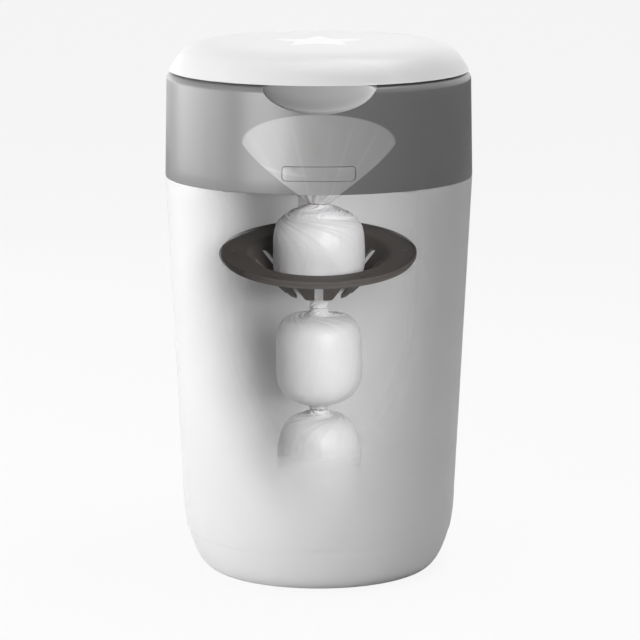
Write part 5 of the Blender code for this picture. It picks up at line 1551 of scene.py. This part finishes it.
def screw(head, tall, shank, length):
    """Cross-recessed screw with its head's underside at height zero."""
    body = turned([(0.0, tall), (head, tall), (head, 0.0), (shank, 0.0), (shank, -length), (0.0, -length)],
                  steps=SCREW_SIDES, ease=tall / 3)
    reach, wide, low = head * RECESS_REACH_SHARE, head * RECESS_WIDTH_SHARE, tall * (1 - RECESS_DEPTH_SHARE)
    cross = [block((-reach, -wide, low), (reach, wide, tall + OVERRUN)),
             block((-wide, -reach, low), (wide, reach, tall + OVERRUN))]
    return combined(body, cross, "DIFFERENCE")


def large_screw(length):
    return screw(SCREW_HEAD, SCREW_HEAD_TALL, SCREW_SHANK, length)


def deck_screws():
    half = collar_half(LEDGE_TOP) - WALL - LEDGE_WIDTH / 2
    return ring(large_screw(DECK + LEDGE + FIT * 2), DECK_SCREWS, half, math.pi / DECK_SCREWS, DECK_TOP + FIT,
                depth())


def carrier_screws():
    y = foot_back() - SCREW_HEAD - PLAY
    return joined([moved(large_screw(DECK + CARRIER_THICK + FIT * 2),
                         Matrix.Translation((side * FOOT_SCREW_HALF, y, DECK_TOP + FIT)))
                   for side in (-1, 1)])


def jaw_screws():
    small = screw(SMALL_HEAD, SMALL_HEAD_TALL, SMALL_SHANK, PLATE_THICK + CARRIER_THICK + FIT)
    return moved(ring(small, JAW_SCREWS, JAW_SCREW_CIRCLE, 0.0, FIT), plate_place())


def liner_screws():
    flipped = moved(large_screw(BOSS_HOLE), Matrix.Rotation(math.pi, 4, "X"))
    return ring(flipped, BOSS_COUNT, BOSS_CIRCLE, math.pi / BOSS_COUNT, PLUG_FLOOR - FIT)


# Wrapped bundles


def outline_of(node):
    """Radius by height of a round solid, as evenly spaced points from its top to its foot."""
    places = np.array([vertex.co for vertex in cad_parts[node].data.vertices])
    heights = np.round(places[:, 2], 6)
    reach = np.hypot(places[:, 0], places[:, 1])
    levels = np.unique(heights)[::-1]
    widths = np.array([reach[heights == level].max() for level in levels])
    along = np.concatenate([[0.0], np.cumsum(np.hypot(np.diff(levels), np.diff(widths)))])
    spots = np.linspace(0.0, along[-1], BUNDLE_ROWS)
    level, width = np.interp(spots, along, levels), np.interp(spots, along, widths)
    weights = np.hanning(BUNDLE_SMOOTH)
    for line in (level, width):
        padded = np.pad(line, BUNDLE_SMOOTH // 2, mode="reflect", reflect_type="odd")
        line[:] = np.convolve(padded, weights / weights.sum(), mode="valid")
    return width, level, spots


def folds(chance, turn, orders, crispness):
    """Ridges between 0 and 1 that run along a bundle, at random phases."""
    total = np.zeros_like(turn)
    weight = 0.0
    for order in orders:
        share = chance.uniform(0.5, 1.0)
        total += share * (1 - np.abs(np.cos(order * turn / 2 + chance.uniform(0, math.tau)))) ** crispness
        weight += share
    return total / weight


def bundle_shape(node, number, ends):
    """Bundle under twisted film: folds that deepen and spiral towards each neck, and soft lumps between."""
    chance = np.random.default_rng(film().seed + number)
    width, level, along = outline_of(node)
    turn = np.linspace(0.0, math.tau, BUNDLE_COLUMNS, endpoint=False)
    around, down = np.meshgrid(turn, along)
    wide = width[:, None]
    slope_in, slope_up = np.gradient(width, along), np.gradient(level, along)
    size = np.hypot(slope_in, slope_up)
    out_x, out_z = (-slope_up / size)[:, None], (slope_in / size)[:, None]
    depth_in = lumps(chance, around, level[:, None]) * LUMP_DEPTH * np.clip(wide / LUMP_WIDTH, 0, 1)
    for root, direction in ends:
        apart = np.abs(down - along[np.argmin(np.abs(level - root))])
        near = np.exp(-apart / FOLD_REACH)
        spiral = around + direction * (FOLD_TWIST * near + NECK_TWIST * np.exp(-apart / NECK_REACH))
        fine = folds(chance, spiral, *FINE_FOLDS)
        broad = folds(chance, spiral, *BROAD_FOLDS)
        fade = np.clip(wide / FOLD_WIDTH, FOLD_LEAST, 1.0)
        depth_in += near * film().fold_depth * (FOLD_MIDDLE - fine - broad) * fade
    depth_in += (1 - folds(chance, around + CREASE_TWIST * down, *CREASES)) * CREASE_DEPTH
    depth_in -= depth_in.min() * SWELL_BACK
    depth_in *= np.clip(wide / TIP_WIDTH, 0.0, 1.0)
    radius = np.maximum(wide - depth_in * out_x, wide * LEAST_WIDTH)
    height = level[:, None] - depth_in * out_z
    height = np.clip(height, level[-1], level[0])
    x, y = radius * np.cos(around), radius * np.sin(around)
    return grid_solid(np.stack([x, y, height], axis=-1))


def lumps(chance, around, level):
    """Slow swells round and along a bundle, from 0 to about 2."""
    total = np.ones_like(around + level)
    for order in SWELL_ORDERS:
        for pace in SWELL_PACES:
            total = total + SWELL_SIZE / order ** 0.5 * np.cos(
                order * around + pace * level + chance.uniform(0, math.tau))
    return np.clip(total, 0.0, 2.0)


def grid_solid(points):
    """Closed solid from rows of points round an axis, with a fan at each end."""
    rows, columns, _ = points.shape
    places = points.reshape(-1, 3).tolist()
    faces = []
    for row in range(rows - 1):
        for column in range(columns):
            after = (column + 1) % columns
            faces.append((row * columns + column, (row + 1) * columns + column,
                          (row + 1) * columns + after, row * columns + after))
    for row, centre in ((0, rows * columns), (rows - 1, rows * columns + 1)):
        middle = points[row].mean(axis=0)
        places.append(tuple(middle))
        for column in range(columns):
            faces.append((row * columns + column, row * columns + (column + 1) % columns, centre))
    mesh = bpy.data.meshes.new("bundle")
    mesh.from_pydata(places, [], faces)
    face_out(mesh)
    return mesh


def dress(look, *nodes):
    """Give solids that stay a better finish."""
    for node in nodes:
        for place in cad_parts[node].material_slots:
            place.material = look


# Operators, one for each group of pieces


class NAPPYBIN_OT_tub(bpy.types.Operator):
    """Add the tub and its hinge pin"""
    bl_idname = "nappy_bin.tub"
    bl_label = "Tub"

    def execute(self, context):
        white = outer_white()
        piece("tub_shell", tub_shape(), white, "tub", ["tub"])
        piece("tub_inner_face", tub_face(), white, "tub", [])
        return {"FINISHED"}


class NAPPYBIN_OT_collar(bpy.types.Operator):
    """Add the collar, its inner bezel, the deck and the release button"""
    bl_idname = "nappy_bin.collar"
    bl_label = "Collar"

    def execute(self, context):
        grey = collar_grey()
        piece("collar_shell", collar_shape(), grey, "collar", ["collar"])
        piece("release_button_cap", button_shape(), grey, "button", ["release_button"])
        piece("bezel", bezel_shape(), moulded("bezel plastic", shells().collar_colour, 0.45), "collar",
              ["inner_bezel"])
        piece("deck_plate", deck_shape(), inner_white("deck plastic"), "collar", ["deck"])
        return {"FINISHED"}


class NAPPYBIN_OT_lid(bpy.types.Operator):
    """Add the lid with its star, liner and seal"""
    bl_idname = "nappy_bin.lid"
    bl_label = "Lid"

    def execute(self, context):
        white = moulded("lid plastic", shells().lid_colour, 0.3, 0.00001, IOR=1.48)
        piece("lid_dome", lid_shape(), white, "lid", ["lid"])
        star = flat([star_outline(STAR_RADIUS)], LID_TOP - STAR_THICK, LID_TOP)
        bright = moulded("star plastic", STAR_COLOUR, 0.3, 0.00001)
        piece("lid_star_inlay", softened(star, STAR_EDGE), bright, "lid", ["lid_star"], STAR_ANGLE)
        piece("lid_liner_panel", liner_shape(), inner_white("liner plastic"), "lid", ["lid_liner"])
        piece("lid_seal_ring", seal_shape(), rubber(), "lid", ["lid_seal"])
        return {"FINISHED"}


class NAPPYBIN_OT_turntable(bpy.types.Operator):
    """Add the turntable cup and the film cassette in it"""
    bl_idname = "nappy_bin.turntable"
    bl_label = "Turntable"

    def execute(self, context):
        cup = inner_white("cup plastic", front_strip)
        piece("cup", cup_shape(), cup, "turntable", ["turntable_cup"])
        pale = moulded("cassette plastic", inside().cassette_colour, 0.42, clear=front_strip)
        piece("tray", tray_shape(), pale, "turntable", ["cassette_tray"])
        piece("cap", cap_shape(), pale, "turntable", ["cassette_cap"])
        folded = clear_film("folded film", FOLDED_COLOUR, 0.85, front_strip)
        piece("folded_film", pack_shape(), folded, "turntable", ["film_pack"])
        drawn = clear_film("drawn film", DRAWN_COLOUR, 0.72)
        cone = piece("drawn_film", funnel_shape(), drawn, "turntable", ["film_funnel"], FILM_ANGLE)
        return {"FINISHED"}


class NAPPYBIN_OT_jaws(bpy.types.Operator):
    """Add the jaw plate and the carrier that holds it"""
    bl_idname = "nappy_bin.jaws"
    bl_label = "Jaws"

    def execute(self, context):
        piece("jaws", plate_shape(), dark_plastic(), "collar", ["jaw_plate"])
        piece("jaw_bracket", carrier_shape(), carrier_plastic(), "collar", ["jaw_carrier"])
        return {"FINISHED"}


class NAPPYBIN_OT_bundles(bpy.types.Operator):
    """Add the three wrapped bundles"""
    bl_idname = "nappy_bin.bundles"
    bl_label = "Wrapped bundles"

    def execute(self, context):
        look = wrap()
        bodies = {"bundle_1": "collar", "bundle_2": "tub", "bundle_3": "tub"}
        for number, (node, body) in enumerate(bodies.items()):
            mesh = bundle_shape(node, number, bundle_ends(node))
            made = piece(f"wrapped_{node}", mesh, look, body, [node], BUNDLE_ANGLE)
        return {"FINISHED"}


def bundle_ends(node):
    """Height of each neck's root and the way that its film turns."""
    low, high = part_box(node)
    drop, turn = TOP_NECKS[node]
    ends = [(high[2] - drop, turn)]
    if node in FOOT_NECKS:
        rise, turn = FOOT_NECKS[node]
        ends.append((low[2] + rise, turn))
    return ends


class NAPPYBIN_OT_fittings(bpy.types.Operator):
    """Add the screws, and finish the pins, spring, latch and pawl"""
    bl_idname = "nappy_bin.fittings"
    bl_label = "Screws and fittings"

    def execute(self, context):
        metal = steel()
        dark = moulded("jaw screw plastic", inside().jaw_colour, 0.35)
        for name, mesh, look, body, count, slot in (
                ("deck_screw", deck_screws(), metal, "collar", DECK_SCREWS, "steel"),
                ("carrier_screw", carrier_screws(), metal, "collar", CARRIER_SCREWS, "steel"),
                ("jaw_screw", jaw_screws(), dark, "collar", JAW_SCREWS, "jaw"),
                ("liner_screw", liner_screws(), metal, "lid", BOSS_COUNT, "steel")):
            piece(f"{name}s", mesh, look, body, [f"{name}_{n}" for n in range(1, count + 1)])
        dress(metal, "tub_hinge_pin", "lid_hinge_pin", "latch_pin", "latch_spring", "pawl_screw")
        dress(inner_white("pawl plastic"), "click_pawl")
        dress(inner_white("latch plastic", front_window), "latch_lever")
        return {"FINISHED"}


class NAPPYBIN_OT_stage(bpy.types.Operator):
    """Add the floor, the lamps, the even room light and the camera"""
    bl_idname = "nappy_bin.stage"
    bl_label = "Stage"

    def execute(self, context):
        add_floor()
        add_room(context.scene)
        lamps = {name: add_lamp(f"{name} lamp", *where, getattr(stage_settings(), f"{name}_power"))
                 for name, where in LAMPS.items()}
        outside = [thing.name for thing in context.scene.objects if thing.type == "MESH"
                   and thing.name not in LIT_INSIDE]
        front, inner = lamps["front"].light_linking, lamps["inner"].light_linking
        front.receiver_collection = collection_of("lit outside", outside)
        inner.receiver_collection = collection_of("lit inside", LIT_INSIDE)
        inner.blocker_collection = collection_of("shading inside", SHADING_INSIDE)
        add_camera(context.scene)
        context.scene.view_settings.view_transform = "Standard"
        context.scene.cycles.transparent_max_bounces = TRANSPARENT_BOUNCES
        return {"FINISHED"}


def collection_of(name, things):
    """Collection that a lamp is limited to."""
    group = bpy.data.collections.new(name)
    for thing in things:
        group.objects.link(bpy.data.objects[thing])
    return group


def add_floor():
    """Wide pale floor that shows white to the camera and still holds a soft shadow."""
    mesh = bpy.data.meshes.new("floor")
    corners = [(x * FLOOR_REACH, y * FLOOR_REACH, 0) for x, y in ((-1, -1), (1, -1), (1, 1), (-1, 1))]
    mesh.from_pydata(corners, [], [(0, 1, 2, 3)])
    look = bpy.data.materials.new("pale floor")
    look.use_nodes = True
    tree = look.node_tree
    tree.nodes.remove(tree.nodes["Principled BSDF"])
    start = Field(tree)
    place = start.node("ShaderNodeTexCoord", output="Object")
    grain = start.node("ShaderNodeTexNoise", inputs={"Vector": place, "Scale": 30.0, "Detail": 4.0})
    plain = start.node("ShaderNodeBsdfDiffuse", inputs={"Color": (0.97 + grain * 0.05).shade(
        tuple(stage_settings().floor_colour))})
    glow = start.node("ShaderNodeEmission", inputs={"Color": WHITE, "Strength": 1.0})
    seen = start.node("ShaderNodeLightPath", output="Is Camera Ray")
    mixed = start.node("ShaderNodeMixShader", inputs={0: seen * FLOOR_GLOW, 1: plain, 2: glow})
    tree.links.new(mixed.socket, tree.nodes["Material Output"].inputs["Surface"])
    mesh.materials.append(look)
    loose_object("floor", mesh)


def add_room(scene):
    """Even light from all round, which cameras and reflections see as plain white."""
    room = bpy.data.worlds.new("room")
    scene.world = room
    room.use_nodes = True
    tree = room.node_tree
    start = Field(tree)
    path = start.node("ShaderNodeLightPath").socket.node
    seen = None
    for ray in ("Is Camera Ray", "Is Glossy Ray", "Is Transmission Ray"):
        one = Field(tree, path.outputs[ray])
        seen = one if seen is None else seen.maths("MAXIMUM", one)
    level = stage_settings().room_level
    strength = seen * (1 - level) + level
    tree.links.new(strength.socket, tree.nodes["Background"].inputs["Strength"])
    tree.nodes["Background"].inputs["Color"].default_value = WHITE


def add_lamp(name, place, target, size, power):
    """Soft rectangular lamp that faces a point."""
    light = bpy.data.lights.new(name, "AREA")
    light.shape = "RECTANGLE"
    light.size, light.size_y = size
    light.energy = power
    lamp = bpy.data.objects.new(name, light)
    bpy.context.scene.collection.objects.link(lamp)
    lamp.location = place
    lamp.rotation_euler = (Vector(target) - Vector(place)).to_track_quat("-Z", "Y").to_euler()
    return lamp


def add_camera(scene):
    """Camera where the photograph was taken from."""
    camera = bpy.data.cameras.new("camera")
    camera.lens = LENS_MM
    camera.sensor_width = SENSOR_MM
    camera.clip_end = FARTHEST_SEEN
    view = bpy.data.objects.new("camera", camera)
    scene.collection.objects.link(view)
    view.location = STATION
    view.rotation_euler = (STATION_TILT, 0.0, 0.0)
    scene.camera = view


class NAPPYBIN_PT_main(bpy.types.Panel):
    """Sizes and buttons of the nappy bin"""
    bl_label = "Nappy bin"
    bl_idname = "NAPPYBIN_PT_main"
    bl_space_type = "VIEW_3D"
    bl_region_type = "UI"
    bl_category = "Nappy bin"

    def draw(self, context):
        layout = self.layout
        scene = context.scene
        for title, settings in (("Shells", scene.bin_shells), ("Inside", scene.bin_inside),
                                ("Film", scene.bin_film), ("Stage", scene.bin_stage)):
            box = layout.box()
            box.label(text=title)
            for name in settings.__annotations__:
                box.prop(settings, name)
        for operator in OPERATORS:
            layout.operator(operator.bl_idname)


GROUPS = {"bin_shells": ShellSettings, "bin_inside": InsideSettings, "bin_film": FilmSettings,
          "bin_stage": StageSettings}
OPERATORS = (NAPPYBIN_OT_tub, NAPPYBIN_OT_collar, NAPPYBIN_OT_lid, NAPPYBIN_OT_turntable, NAPPYBIN_OT_jaws,
             NAPPYBIN_OT_bundles, NAPPYBIN_OT_fittings, NAPPYBIN_OT_stage)


def register():
    for kind in (*GROUPS.values(), *OPERATORS, NAPPYBIN_PT_main):
        bpy.utils.register_class(kind)
    for name, kind in GROUPS.items():
        setattr(bpy.types.Scene, name, bpy.props.PointerProperty(type=kind))


def unregister():
    for name in GROUPS:
        delattr(bpy.types.Scene, name)
    for kind in reversed((*GROUPS.values(), *OPERATORS, NAPPYBIN_PT_main)):
        bpy.utils.unregister_class(kind)


def main():
    """Build every piece and the stage."""
    register()
    bpy.ops.nappy_bin.tub()
    bpy.ops.nappy_bin.collar()
    bpy.ops.nappy_bin.lid()
    bpy.ops.nappy_bin.turntable()
    bpy.ops.nappy_bin.jaws()
    bpy.ops.nappy_bin.bundles()
    bpy.ops.nappy_bin.fittings()
    bpy.ops.nappy_bin.stage()


if __name__ == "__main__":
    main()
